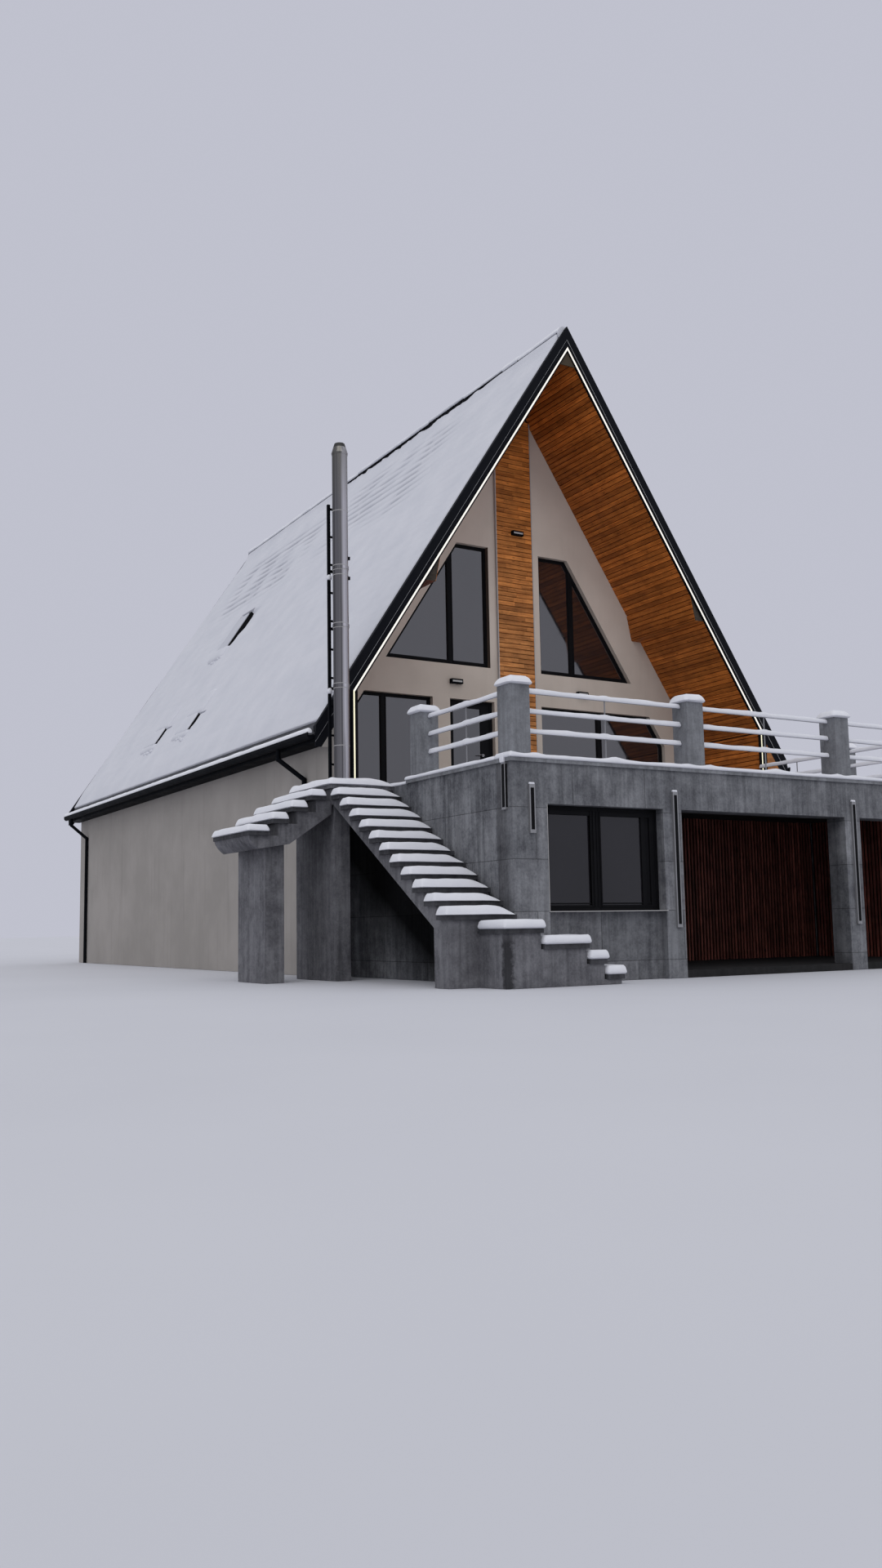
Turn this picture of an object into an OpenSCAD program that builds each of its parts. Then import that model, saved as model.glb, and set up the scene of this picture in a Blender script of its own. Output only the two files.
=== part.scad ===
// A-frame cabin over a concrete terrace storey, with an outside stair.
// X = 0 is the ridge line, Y = 0 the terrace front, Z = 0 the lowest ground.

/* [Cabin] */
// Height of the ridge above the lowest ground
ridge_z = 12060; // [11500:10:12800]
// Height of the roof edge above the lowest ground
eave_z = 3900; // [3700:10:4100]
// Distance from the ridge line to the roof edge
eave_x = 5360; // [5300:10:5600]
// Distance from the ridge line to the inner face of a side wall
inner_x = 4740; // [4600:10:4800]
// Thickness of the masonry walls
wall_t = 300; // [200:10:320]
// Thickness of the roof, square to the slope
roof_t = 175; // [150:5:200]
// Distance from the terrace front to the porch front
porch_y = 4740; // [4200:10:5200]
// Depth of the open porch under the roof
porch_depth = 1965; // [1500:10:2400]
// Distance from the terrace front to the outer face of the back wall
back_y = 20400; // [18000:100:24000]
// Distance the roof runs past the back wall
back_overhang = 165; // [100:5:400]
// Thickness of the board lining under the porch roof
lining_t = 20; // [15:1:30]

/* [Floors] */
// Height of the terrace and main floor
terrace_z = 2900; // [2800:10:3000]
// Thickness of the terrace and main floor slabs
floor_t = 280; // [200:10:300]
// Thickness of the slab on the ground
ground_t = 100; // [80:10:150]
// Height of the loft floor
loft_z = 5600; // [5500:10:5700]
// Thickness of the loft floor
loft_t = 250; // [200:10:300]
// Distance from the terrace front to the front edge of the loft floor
loft_y = 10700; // [9000:100:13000]

/* [Terrace] */
// Thickness of the terrace side walls
terrace_wall_t = 250; // [200:10:300]
// Depth of the front beam and of the piers below it
beam_d = 350; // [250:10:400]
// Height of the underside of the front beam
beam_z = 2355; // [2250:5:2450]
// Width of the corner columns
corner_w = 560; // [400:10:650]
// Width of the piers between the bays
pier_w = 340; // [250:10:400]
// Left edge of the left pier
left_pier_x = -2184; // [-2400:4:-2000]
// Left edge of the right pier
right_pier_x = 1515; // [1300:5:1700]
// Distance from the terrace front to the slatted wall
slat_wall_y = 3400; // [3000:50:3900]
// Thickness of the slatted wall
slat_wall_t = 50; // [30:5:80]
// Thickness of the wall behind the slats
cross_wall_t = 200; // [150:10:300]
// Thickness of the coping
coping_t = 50; // [30:5:80]
// Distance the coping stands out from the walls
coping_out = 30; // [10:5:60]
// Width of the joint between coping stones
coping_joint = 3; // [2:1:6]

/* [Railing] */
// Side of a square railing pier
post_w = 310; // [250:10:400]
// Height of the railing piers above the terrace floor
post_h = 1040; // [1000:10:1200]
// Distance from the terrace edge to the face of a railing pier
post_inset = 35; // [0:5:60]
// Distance from one front railing pier to the next
post_pitch = 3075; // [2950:25:3125]
// Distance from the terrace front to the side railing piers
side_post_y = 2410; // [2300:10:2600]
// Radius of a rail
rail_r = 15; // [10:1:25]
// Heights of the rails above the terrace floor
rail_heights = [425, 695, 965];
// Radius of the thin post in the middle of a railing bay
rail_post_r = 10; // [8:1:16]

/* [Windows and door] */
// Distance from the wall face to the window frames
reveal = 95; // [60:5:120]
// Depth of the window and door frames
frame_d = 70; // [60:5:90]
// Width of the outer members of a window frame
frame_w = 60; // [40:5:80]
// Thickness of the glass
glass_t = 24; // [18:1:32]
// Height of the heads of the main floor openings
head_z = 5145; // [5000:5:5250]
// Distance from a terrace side face in to the outer side of a main floor window
window_margin = 924; // [840:4:1040]
// Height at which the slanted corner of a main floor window starts
clip_z = 4530; // [4400:10:4700]
// Distance from the ridge line to the inner side of the left window
left_window_x = 1944; // [1900:4:2100]
// Distance from the ridge line to the inner side of the right window
right_window_x = 600; // [560:10:800]
// Distance from the left window's outer side to its mullion
left_mullion_in = 844; // [700:4:1000]
// Distance from the ridge line to the right window's mullion
right_mullion_x = 2118; // [1900:2:2400]
// Width of a window mullion
mullion_w = 120; // [80:5:150]
// Height of the loft window sills
loft_sill_z = 5820; // [5780:10:6000]
// Height of the loft window heads
loft_head_z = 8275; // [8000:5:8500]
// Distance from the ridge line to the inner side of a loft window
loft_in_x = 613; // [560:1:700]
// Distance from the ridge line to the lower outer corner of a loft window
loft_out_x = 2952; // [2800:4:3000]
// Distance from the ridge line to a loft window's mullion
loft_mullion_x = 1470; // [1400:5:1600]
// Height of the sill of the lower window
lower_sill_z = 940; // [800:10:1200]
// Distance from the terrace front to the lower window
lower_window_y = 150; // [120:5:200]
// Distance from the lower window's left edge to the middle of its mullion
lower_mullion_in = 900; // [700:10:1000]
// Width of the two sash stiles that meet at the lower window's middle
lower_mullion_w = 180; // [120:5:200]
// Left edge of the doorway
door_x = -1559; // [-1600:1:-1500]
// Width of the doorway
door_w = 1025; // [950:5:1060]
// Width of the door frame members
door_frame_w = 50; // [40:5:60]
// Gap between the door leaf and its frame
door_gap = 6; // [5:1:8]
// Thickness of the door leaf
leaf_t = 59; // [45:1:62]
// Width of the leaf's stile on the hinge side
hinge_stile_w = 70; // [60:5:100]
// Width of the leaf's stile on the handle side
lock_stile_w = 215; // [150:5:240]
// Height of the door handle above the floor
handle_h = 1185; // [1000:5:1200]
// Width of a roof window
roof_window_w = 780; // [660:20:940]
// Height of the raised kerb of a roof window
kerb_h = 90; // [60:5:120]
// Width of the wood strip on the front wall
strip_w = 848; // [700:4:960]

/* [Stairs] */
// Width of the main flight
flight_w = 1050; // [900:10:1150]
// Number of treads in the main flight
main_treads = 11; // [9:1:11]
// Number of risers from the lowest ground to the terrace
risers = 16; // [15:1:17]
// Depth of a tread from nosing to nosing
run = 300; // [270:5:320]
// Thickness of a tread slab
tread_t = 60; // [40:5:80]
// Distance a tread stands out over its waist
tread_out = 50; // [20:5:60]
// Thickness of a flight's waist, measured plumb under the nosings
waist_t = 300; // [250:10:350]
// Extra thickness of the main flight's waist at its foot
waist_extra = 110; // [0:10:140]
// Thickness of the top landing
landing_t = 300; // [250:10:350]
// Number of treads in the side flight
side_treads = 4; // [3:1:5]

/* [Flue] */
// Radius of the flue pipe
flue_r = 126; // [90:2:150]
// Height of the top of the flue
flue_top_z = 8610; // [8000:10:9200]
// Distance from the ridge line to the flue
flue_x = 5140; // [5100:5:5300]
// Distance from the terrace front to the flue
flue_y = 4150; // [4000:10:4200]

/* [Hidden] */
$fn = 48;

roof_slope = (ridge_z - eave_z) / eave_x;
roof_angle = atan(roof_slope);
slope_len = eave_x / cos(roof_angle);
outer_x = inner_x + wall_t;
front_wall_y = porch_y + porch_depth;
verge_t = 25;
trim_t = 20;
led_w = 45;
led_d = roof_t - 10;
verge_drop = led_d + led_w + 12;
verge_up = 60;
upstand_t = 60;
roof_end_y = back_y + back_overhang;
window_out_x = inner_x - window_margin;
left_mullion_x = window_out_x - left_mullion_in;
lower_mullion_x = corner_w + lower_mullion_in - inner_x;
landing_y = main_treads * run - tread_out;
riser = terrace_z / risers;
door_right_x = door_x + door_w;
seat = 0.3;
rest_d = roof_t + seat;
soffit_d = roof_t + lining_t;
lining_d = soffit_d + seat;
led_x = inner_x - 100;
post_x = led_x + led_w;
infill_x = post_x + 105;
eave_box_z = eave_z - 125;
fascia_x = eave_x - 25;
verge_foot_z = eave_box_z - 75;
gutter_r = 65;
gutter_x = fascia_x + gutter_r + 3;
gutter_z = eave_z - (eave_x + gutter_r - gutter_x) / roof_slope - 3.5;
collar_x = 150;
pad = 1;

// Height of a line parallel to the roof, a depth d under its top face, at a distance x
function under(x, d) = ridge_z - d / cos(roof_angle) - roof_slope * abs(x);
// Distance from the ridge line at which that line reaches a height z
function reach(z, d) = (ridge_z - d / cos(roof_angle) - z) / roof_slope;
// A point on the right slope, s down from the ridge and d out from the top face
function rake(s, d) = [
  s * cos(roof_angle) + d * sin(roof_angle),
  ridge_z - s * sin(roof_angle) + d * cos(roof_angle)
];
// Outline of a band along the right slope, from depth d0 to d1
function band(d0, d1, s_end) = [
  [0, under(0, -d1)], rake(s_end, d1), rake(s_end, d0), [0, under(0, -d0)]
];

// A plate from an outline in X and Z, running back from y0
module xz_plate(points, y0, depth) {
  translate([0, y0 + depth, 0])
    rotate([90, 0, 0])
      linear_extrude(depth)
        polygon(points);
}

// A plate from an outline in Y and Z, running right from x0
module yz_plate(points, x0, width) {
  translate([x0, 0, 0])
    rotate([90, 0, 90])
      linear_extrude(width)
        polygon(points);
}

// A box between two corners
module block(low, high) {
  translate(low)
    cube(high - low);
}

// The same shape on both sides of the ridge line
module both_sides() {
  children();
  mirror([1, 0, 0])
    children();
}

// A round bar between two points
module bar(p, q, r) {
  v = q - p;
  length = norm(v);
  translate(p)
    rotate([0, acos(v[2] / length), atan2(v[1], v[0])])
      cylinder(h = length, r = r);
}

// Places a shape on the right slope: X runs down the slope, Z stands square to it
module on_slope() {
  translate([0, 0, ridge_z])
    rotate([0, roof_angle, 0])
      children();
}

// Lower storey
module ground_slab() {
  terrace_x = inner_x - terrace_wall_t;
  column_x = inner_x - corner_w;
  color("gray")
    linear_extrude(ground_t)
      polygon([
        [-terrace_x, beam_d], [left_pier_x + pier_w, beam_d], [left_pier_x + pier_w, 0],
        [right_pier_x, 0], [right_pier_x, beam_d], [right_pier_x + pier_w, beam_d],
        [right_pier_x + pier_w, 0], [column_x, 0], [column_x, beam_d], [terrace_x, beam_d],
        [terrace_x, porch_y], [inner_x, porch_y], [inner_x, back_y - wall_t],
        [-inner_x, back_y - wall_t], [-inner_x, porch_y], [-terrace_x, porch_y]
      ]);
}

module terrace_side_walls() {
  color("dimgray")
    both_sides()
      block([inner_x - terrace_wall_t, beam_d, 0], [inner_x, porch_y, terrace_z]);
}

module terrace_piers() {
  color("dimgray") {
    both_sides()
      block([inner_x - corner_w, 0, 0], [inner_x, beam_d, beam_z]);
    for (x = [left_pier_x, right_pier_x])
      block([x, 0, 0], [x + pier_w, beam_d, beam_z]);
  }
}

module front_beam() {
  color("dimgray")
    block([-inner_x, 0, beam_z], [inner_x, beam_d, terrace_z]);
}

module terrace_slab() {
  x = inner_x - terrace_wall_t;
  color("gray")
    block([-x, beam_d, terrace_z - floor_t], [x, porch_y, terrace_z]);
}

module terrace_coping() {
  x = inner_x + coping_out;
  width = terrace_wall_t + coping_out + 110;
  top = terrace_z + coping_t;
  left_end = side_post_y + post_w + post_inset;
  color("darkgray") {
    block([-x, -coping_out, terrace_z], [x, beam_d, top]);
    block([-x, beam_d + coping_joint, terrace_z], [width - x, left_end, top]);
    block([x - width, beam_d + coping_joint, terrace_z], [x, porch_y - 60, top]);
  }
}

module window_bay_wall() {
  color("dimgray")
    block(
      [corner_w - inner_x, lower_window_y - 30, 0],
      [left_pier_x, beam_d, lower_sill_z]
    );
}

module room_side_wall() {
  color("gray")
    block(
      [left_pier_x, beam_d, ground_t],
      [left_pier_x + cross_wall_t, slat_wall_y + slat_wall_t, terrace_z - floor_t]
    );
}

module cross_wall() {
  x = inner_x - terrace_wall_t;
  y = slat_wall_y + slat_wall_t;
  color("gray")
    block([-x, y, ground_t], [x, y + cross_wall_t, terrace_z - floor_t]);
}

module slat_wall() {
  color("saddlebrown")
    block(
      [left_pier_x + cross_wall_t, slat_wall_y, ground_t],
      [inner_x - terrace_wall_t, slat_wall_y + slat_wall_t, terrace_z - floor_t]
    );
}

// Cabin walls and floors
module side_wall() {
  xz_plate(
    [[inner_x, 0], [outer_x, 0], [outer_x, under(outer_x, rest_d)], [inner_x, under(inner_x, rest_d)]],
    porch_y, back_y - porch_y
  );
}

module left_side_wall() {
  color("tan")
    mirror([1, 0, 0])
      side_wall();
}

module right_side_wall() {
  color("tan")
    side_wall();
}

module back_foundation_wall() {
  color("tan")
    block([-inner_x, back_y - wall_t, 0], [inner_x, back_y, terrace_z]);
}

module main_floor() {
  color("gray")
    block([-inner_x, porch_y, terrace_z - floor_t], [inner_x, back_y - wall_t, terrace_z]);
}

module loft_floor() {
  low = min(inner_x, reach(loft_z - loft_t, rest_d));
  high = min(inner_x, reach(loft_z, rest_d));
  color("burlywood")
    xz_plate(
      [[-low, loft_z - loft_t], [low, loft_z - loft_t], [high, loft_z], [-high, loft_z]],
      loft_y, back_y - wall_t - loft_y
    );
}

// Ratio of a slanted side's width to its width measured level
slant = 1 / sin(roof_angle);

// Outline of a main floor window on the right, from its inner side x, drawn in by an inset
function floor_window(x, inset) = [
  [x + inset, terrace_z + inset],
  [window_out_x - inset, terrace_z + inset],
  [window_out_x - inset, clip_z - inset * (slant - 1) * roof_slope],
  [window_out_x - (head_z - inset - clip_z) / roof_slope - inset * slant, head_z - inset],
  [x + inset, head_z - inset]
];

// Outline of a loft window on the right, drawn in by an inset
function loft_window(inset) = [
  [loft_in_x + inset, loft_sill_z + inset],
  [loft_out_x - inset / roof_slope - inset * slant, loft_sill_z + inset],
  [loft_out_x - (loft_head_z - inset - loft_sill_z) / roof_slope - inset * slant, loft_head_z - inset],
  [loft_in_x + inset, loft_head_z - inset]
];

function flip(points) = [for (p = points) [-p[0], p[1]]];

module wall_hole(points, y) {
  xz_plate(points, y - pad, wall_t + 2 * pad);
}

// Outline of the room under the roof, from side wall to side wall
gable = [
  [-inner_x, terrace_z], [inner_x, terrace_z], [inner_x, under(inner_x, rest_d)],
  [0, under(0, rest_d)], [-inner_x, under(inner_x, rest_d)]
];

// The part of the front wall from x0 to x1 and from z0 to z1
module front_wall(x0, x1, z0, z1) {
  intersection() {
    xz_plate(gable, front_wall_y, wall_t);
    block([x0, front_wall_y, z0], [x1, front_wall_y + wall_t, z1]);
  }
}

module front_wall_left() {
  color("wheat")
    difference() {
      front_wall(-inner_x, door_x, terrace_z, head_z);
      wall_hole(flip(floor_window(left_window_x, 0)), front_wall_y);
    }
}

module front_wall_right() {
  color("wheat")
    difference() {
      front_wall(door_right_x, inner_x, terrace_z, head_z);
      wall_hole(floor_window(right_window_x, 0), front_wall_y);
    }
}

module front_wall_upper() {
  color("wheat")
    difference() {
      front_wall(-inner_x, inner_x, head_z, ridge_z);
      wall_hole(loft_window(0), front_wall_y);
      wall_hole(flip(loft_window(0)), front_wall_y);
    }
}

module back_wall() {
  y = back_y - wall_t;
  color("tan")
    difference() {
      xz_plate(gable, y, wall_t);
      both_sides() {
        wall_hole(floor_window(left_window_x, 0), y);
        wall_hole(loft_window(0), y);
      }
    }
}

module wood_strip() {
  x = strip_w / 2;
  top = under(collar_x, lining_d);
  color("peru")
    xz_plate(
      [
        [-x, terrace_z], [x, terrace_z], [x, under(x, lining_d)],
        [collar_x, top], [-collar_x, top], [-x, under(x, lining_d)]
      ],
      front_wall_y - 40, 40
    );
}

// Roof
// Each roof window: distance from the terrace front, distance down the slope, length
low_row = slope_len - 2713;
roof_windows = [[14920, slope_len - 5683, 1400], [13160, low_row, 1180], [15520, low_row, 1180]];

module roof_window_cuts(grow, low, high) {
  for (w = roof_windows)
    on_slope()
      block(
        [w[1] - grow, w[0] - grow, low],
        [w[1] + w[2] + grow, w[0] + roof_window_w + grow, high]
      );
}

module roof_right() {
  color("darkslategray")
    difference() {
      xz_plate(band(-roof_t, 0, slope_len), porch_y, roof_end_y - porch_y);
      roof_window_cuts(0, -roof_t - pad, pad);
    }
}

module roof_left() {
  mirror([1, 0, 0])
    roof_right();
}

module ridge_cap() {
  tile = 400;
  r = 120;
  lip = 12;
  y0 = porch_y + upstand_t;
  length = roof_end_y - upstand_t - y0;
  count = floor(length / tile);
  steps = [
    for (i = [0 : count - 1])
      each [
        [r, i * length / count], [r, (i + 0.85) * length / count],
        [r + lip, (i + 0.85) * length / count], [r + lip, (i + 1) * length / count]
      ]
  ];
  color("darkslategray")
    difference() {
      translate([0, y0, ridge_z - 20])
        rotate([-90, 0, 0])
          rotate_extrude()
            polygon(concat([[0, 0]], steps, [[0, length]]));
      both_sides()
        xz_plate(band(-2 * r, seat, 3 * r), y0 - pad, length + 2 * pad);
    }
}

// A plate along the right slope between two depths, cut plumb at the fascia
module verge_plate(d_top, d_low, y0, depth) {
  x = fascia_x;
  xz_plate(
    [[0, under(0, d_top)], [x, under(x, d_top)], [x, under(x, d_low)], [0, under(0, d_low)]],
    y0, depth
  );
}

// One sloping leg of a verge, with its face at y and its upstand behind it
module verge_leg(face_y, trim_y, upstand_y) {
  x = fascia_x;
  xz_plate(
    [
      [0, under(0, -verge_up)], [x, under(x, -verge_up)], [x, verge_foot_z],
      [reach(verge_foot_z, verge_drop), verge_foot_z], [0, under(0, verge_drop)]
    ],
    face_y, verge_t
  );
  verge_plate(-verge_up, 80, trim_y, trim_t);
  verge_plate(5 - verge_up, -seat, upstand_y, upstand_t);
}

module verges_right() {
  color("black") {
    verge_leg(porch_y - verge_t, porch_y - verge_t - trim_t, porch_y);
    verge_leg(roof_end_y, roof_end_y + verge_t, roof_end_y - upstand_t);
  }
}

module verges_left() {
  mirror([1, 0, 0])
    verges_right();
}

module porch_soffits() {
  color("chocolate")
    both_sides()
      xz_plate(
        [
          [collar_x, under(collar_x, rest_d)], [inner_x, under(inner_x, rest_d)],
          [inner_x, under(inner_x, soffit_d)], [collar_x, under(collar_x, soffit_d)]
        ],
        porch_y, porch_depth
      );
}

module apex_collar() {
  low = under(collar_x, soffit_d);
  high = under(collar_x, rest_d);
  color("sienna")
    xz_plate(
      [[-collar_x, low], [collar_x, low], [collar_x, high], [0, under(0, rest_d)], [-collar_x, high]],
      porch_y, porch_depth
    );
}

module porch_purlins() {
  purlin_x = 2900;
  purlin_z = under(purlin_x, lining_d) - 532;
  color("chocolate")
    both_sides()
      xz_plate(
        [
          [purlin_x, under(purlin_x, lining_d)], [purlin_x + 110, purlin_z],
          [reach(purlin_z, lining_d), purlin_z]
        ],
        porch_y, porch_depth
      );
}

module cheek_linings() {
  x = inner_x - 80;
  color("chocolate")
    both_sides()
      xz_plate(
        [
          [x, terrace_z], [inner_x, terrace_z],
          [inner_x, under(inner_x, lining_d)], [x, under(x, lining_d)]
        ],
        porch_y, porch_depth
      );
}

module portal_posts() {
  x = led_x - 12;
  d = verge_drop + seat;
  color("black")
    both_sides()
      xz_plate(
        [[x, terrace_z], [infill_x, terrace_z], [infill_x, under(infill_x, d)], [x, under(x, d)]],
        porch_y - verge_t, verge_t
      );
}

module led_profile() {
  y = porch_y - verge_t - trim_t;
  s_end = (post_x + led_d * sin(roof_angle)) / cos(roof_angle);
  color("ivory")
    both_sides() {
      xz_plate(band(-led_d - led_w, -led_d, s_end), y, trim_t);
      xz_plate(
        [
          [led_x, terrace_z], [post_x, terrace_z],
          [post_x, under(post_x, led_d)], [led_x, under(led_x, led_d)]
        ],
        y, trim_t
      );
    }
}

module portal_infills() {
  d = verge_drop + seat;
  color("chocolate")
    both_sides()
      xz_plate(
        [
          [infill_x, terrace_z], [outer_x, terrace_z], [outer_x, verge_foot_z],
          [reach(verge_foot_z, d), verge_foot_z], [infill_x, under(infill_x, d)]
        ],
        porch_y - verge_t, verge_t
      );
}

module eave_boxes() {
  x = fascia_x;
  foot = rake(slope_len + seat, -rest_d);
  edge_z = foot[1] + (x - foot[0]) / tan(roof_angle);
  color("black")
    both_sides()
      xz_plate(
        [
          [outer_x, eave_box_z], [x, eave_box_z], [x, edge_z],
          foot, [outer_x, under(outer_x, rest_d)]
        ],
        porch_y, roof_end_y - porch_y
      );
}

module gutters() {
  length = roof_end_y - porch_y;
  wall = 7;
  color("black")
    both_sides()
      translate([gutter_x, porch_y, gutter_z])
        rotate([-90, 0, 0])
          difference() {
            cylinder(h = length, r = gutter_r);
            translate([0, 0, wall])
              cylinder(h = length - 2 * wall, r = gutter_r - wall);
            translate([-2 * gutter_r, -2 * gutter_r, -pad])
              cube([4 * gutter_r, 2 * gutter_r, length + 2 * pad]);
          }
}

module downpipes() {
  r = 40;
  wall_x = outer_x + r + 4;
  color("black")
    both_sides()
      for (y = [6070, 20000]) {
        outlet = [gutter_x, y, gutter_z - gutter_r - seat];
        knee = [gutter_x, y, eave_box_z - 125];
        heel = [wall_x, y - 355, eave_box_z - 495];
        bar(knee, outlet, r);
        translate(knee)
          sphere(r = r + 4);
        bar(heel, knee, r);
        translate(heel)
          sphere(r = r + 4);
        bar([heel[0], heel[1], 0], heel, r);
      }
}

module roof_window_frames() {
  rim = 55;
  color("black")
    both_sides()
      for (w = roof_windows)
        on_slope()
          difference() {
            block([w[1], w[0], -roof_t + 60], [w[1] + w[2], w[0] + roof_window_w, kerb_h]);
            block(
              [w[1] + rim, w[0] + rim, -roof_t],
              [w[1] + w[2] - rim, w[0] + roof_window_w - rim, kerb_h + pad]
            );
          }
}

module roof_window_glass() {
  rim = 55;
  color("lightblue", 0.4)
    both_sides()
      for (w = roof_windows)
        on_slope()
          block(
            [w[1] + rim, w[0] + rim, kerb_h - 40],
            [w[1] + w[2] - rim, w[0] + roof_window_w - rim, kerb_h - 40 + glass_t]
          );
}

// Windows
// The pane area of a window, less its mullion
module panes(points, mullion_x, y0, depth, stile_w = mullion_w) {
  difference() {
    xz_plate(points, y0, depth);
    block(
      [mullion_x - stile_w / 2, y0 - pad, 0],
      [mullion_x + stile_w / 2, y0 + depth + pad, ridge_z]
    );
  }
}

module frame_of(outline, inside, mullion_x, y, stile_w = mullion_w) {
  difference() {
    xz_plate(outline, y, frame_d);
    panes(inside, mullion_x, y - pad, frame_d + 2 * pad, stile_w);
  }
}

lower_window = [
  [corner_w - inner_x, lower_sill_z], [left_pier_x, lower_sill_z],
  [left_pier_x, beam_z], [corner_w - inner_x, beam_z]
];
lower_window_inside = [
  [corner_w - inner_x + frame_w, lower_sill_z + frame_w], [left_pier_x - frame_w, lower_sill_z + frame_w],
  [left_pier_x - frame_w, beam_z - frame_w], [corner_w - inner_x + frame_w, beam_z - frame_w]
];

module front_windows(kind) {
  y = front_wall_y + reveal;
  g = y + (frame_d - glass_t) / 2;
  left = flip(floor_window(left_window_x, frame_w));
  right = floor_window(right_window_x, frame_w);
  loft = loft_window(frame_w);
  if (kind == "frame") {
    frame_of(flip(floor_window(left_window_x, 0)), left, -left_mullion_x, y);
    frame_of(floor_window(right_window_x, 0), right, right_mullion_x, y);
    both_sides()
      frame_of(loft_window(0), loft, loft_mullion_x, y);
  } else {
    panes(left, -left_mullion_x, g, glass_t);
    panes(right, right_mullion_x, g, glass_t);
    both_sides()
      panes(loft, loft_mullion_x, g, glass_t);
  }
}

module back_windows(kind) {
  y = back_y - reveal - frame_d;
  g = y + (frame_d - glass_t) / 2;
  floor_inside = floor_window(left_window_x, frame_w);
  both_sides()
    if (kind == "frame") {
      frame_of(floor_window(left_window_x, 0), floor_inside, left_mullion_x, y);
      frame_of(loft_window(0), loft_window(frame_w), loft_mullion_x, y);
    } else {
      panes(floor_inside, left_mullion_x, g, glass_t);
      panes(loft_window(frame_w), loft_mullion_x, g, glass_t);
    }
}

module window_frames() {
  color("black") {
    front_windows("frame");
    back_windows("frame");
    frame_of(lower_window, lower_window_inside, lower_mullion_x, lower_window_y, lower_mullion_w);
  }
}

module window_glass() {
  color("lightblue", 0.4) {
    front_windows("glass");
    back_windows("glass");
    panes(
      lower_window_inside, lower_mullion_x,
      lower_window_y + (frame_d - glass_t) / 2, glass_t, lower_mullion_w
    );
  }
}

// Entrance door
door_y = front_wall_y + reveal;
threshold = 20;
leaf_x0 = door_x + door_frame_w + door_gap;
leaf_x1 = door_right_x - door_frame_w - door_gap;
leaf_z0 = terrace_z + threshold + door_gap;
leaf_z1 = head_z - door_frame_w - door_gap;
leaf_y1 = door_y + frame_d;
leaf_y0 = leaf_y1 - leaf_t;
hinge_x = leaf_x0 - door_gap / 2;
hinge_y = leaf_y1 + 11;
hinge_r = 9;
pin_r = 5;
pin_gap = 0.3;
knuckle_h = 40;
hinge_zs = [terrace_z + 260, terrace_z + 1100, terrace_z + 1940];

module door_frame() {
  lip = 16;
  color("black") {
    difference() {
      block([door_x, door_y, terrace_z], [door_right_x, leaf_y1, head_z]);
      block(
        [door_x + door_frame_w, door_y - pad, terrace_z + threshold],
        [door_right_x - door_frame_w, leaf_y1 + pad, head_z - door_frame_w]
      );
    }
    difference() {
      block([door_x, door_y, terrace_z], [door_right_x, leaf_y0 - door_gap, head_z]);
      block(
        [door_x + door_frame_w + lip, door_y - pad, terrace_z + threshold],
        [door_right_x - door_frame_w - lip, leaf_y1, head_z - door_frame_w - lip]
      );
    }
    for (z = hinge_zs) {
      block([hinge_x - 34, leaf_y1, z], [hinge_x - 3, leaf_y1 + 4, z + knuckle_h]);
      block([hinge_x - 12, leaf_y1, z], [hinge_x - 3, hinge_y, z + knuckle_h]);
      translate([hinge_x, hinge_y, z])
        cylinder(h = knuckle_h, r = hinge_r);
      translate([hinge_x, hinge_y, z])
        cylinder(h = 2 * knuckle_h, r = pin_r);
    }
  }
}

module door_leaf() {
  color("black") {
    difference() {
      block([leaf_x0, leaf_y0, leaf_z0], [leaf_x1, leaf_y1, leaf_z1]);
      block(
        [leaf_x0 + hinge_stile_w, leaf_y0 - pad, leaf_z0 + 110],
        [leaf_x1 - lock_stile_w, leaf_y1 + pad, leaf_z1 - 90]
      );
    }
    for (z = hinge_zs)
      difference() {
        union() {
          translate([hinge_x, hinge_y, z + knuckle_h + pin_gap])
            cylinder(h = knuckle_h - pin_gap, r = hinge_r);
          block(
            [hinge_x + 3, leaf_y1, z + knuckle_h + pin_gap],
            [hinge_x + 12, hinge_y, z + 2 * knuckle_h]
          );
          block(
            [hinge_x + 3, leaf_y1, z + knuckle_h + pin_gap],
            [hinge_x + 34, leaf_y1 + 4, z + 2 * knuckle_h]
          );
        }
        translate([hinge_x, hinge_y, z])
          cylinder(h = 3 * knuckle_h, r = pin_r + pin_gap);
      }
  }
}

module door_glass() {
  g = leaf_y0 + (leaf_t - glass_t) / 2;
  color("lightblue", 0.4)
    block(
      [leaf_x0 + hinge_stile_w, g, leaf_z0 + 110],
      [leaf_x1 - lock_stile_w, g + glass_t, leaf_z1 - 90]
    );
}

module door_handle() {
  x = leaf_x1 - lock_stile_w + 42;
  z = terrace_z + handle_h;
  out = 46;
  color("silver")
    for (side = [[leaf_y0, -1], [leaf_y1, 1]]) {
      y = side[0];
      s = side[1];
      translate([x, y, z])
        rotate([-90 * s, 0, 0])
          cylinder(h = 8, r = 26);
      translate([x, y, z])
        rotate([-90 * s, 0, 0])
          cylinder(h = out, r = 10);
      bar([x + 10, y + s * out, z], [x - 125, y + s * out, z], 9);
    }
}

// Lamps
module wall_lights() {
  strip_y = front_wall_y - 40;
  color("black") {
    for (p = [[-1431, front_wall_y, 5475], [57, strip_y, 8638], [1611, front_wall_y, 5475]])
      block([p[0] - 130, p[1] - 85, p[2] - 45], [p[0] + 130, p[1], p[2] + 45]);
  }
}

// A slim upright lamp on a front face, centred at x, from z0 to z1
module front_lamp(x, z0, z1) {
  block([x - 45, -35, z0], [x + 45, 0, z1]);
}

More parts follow.
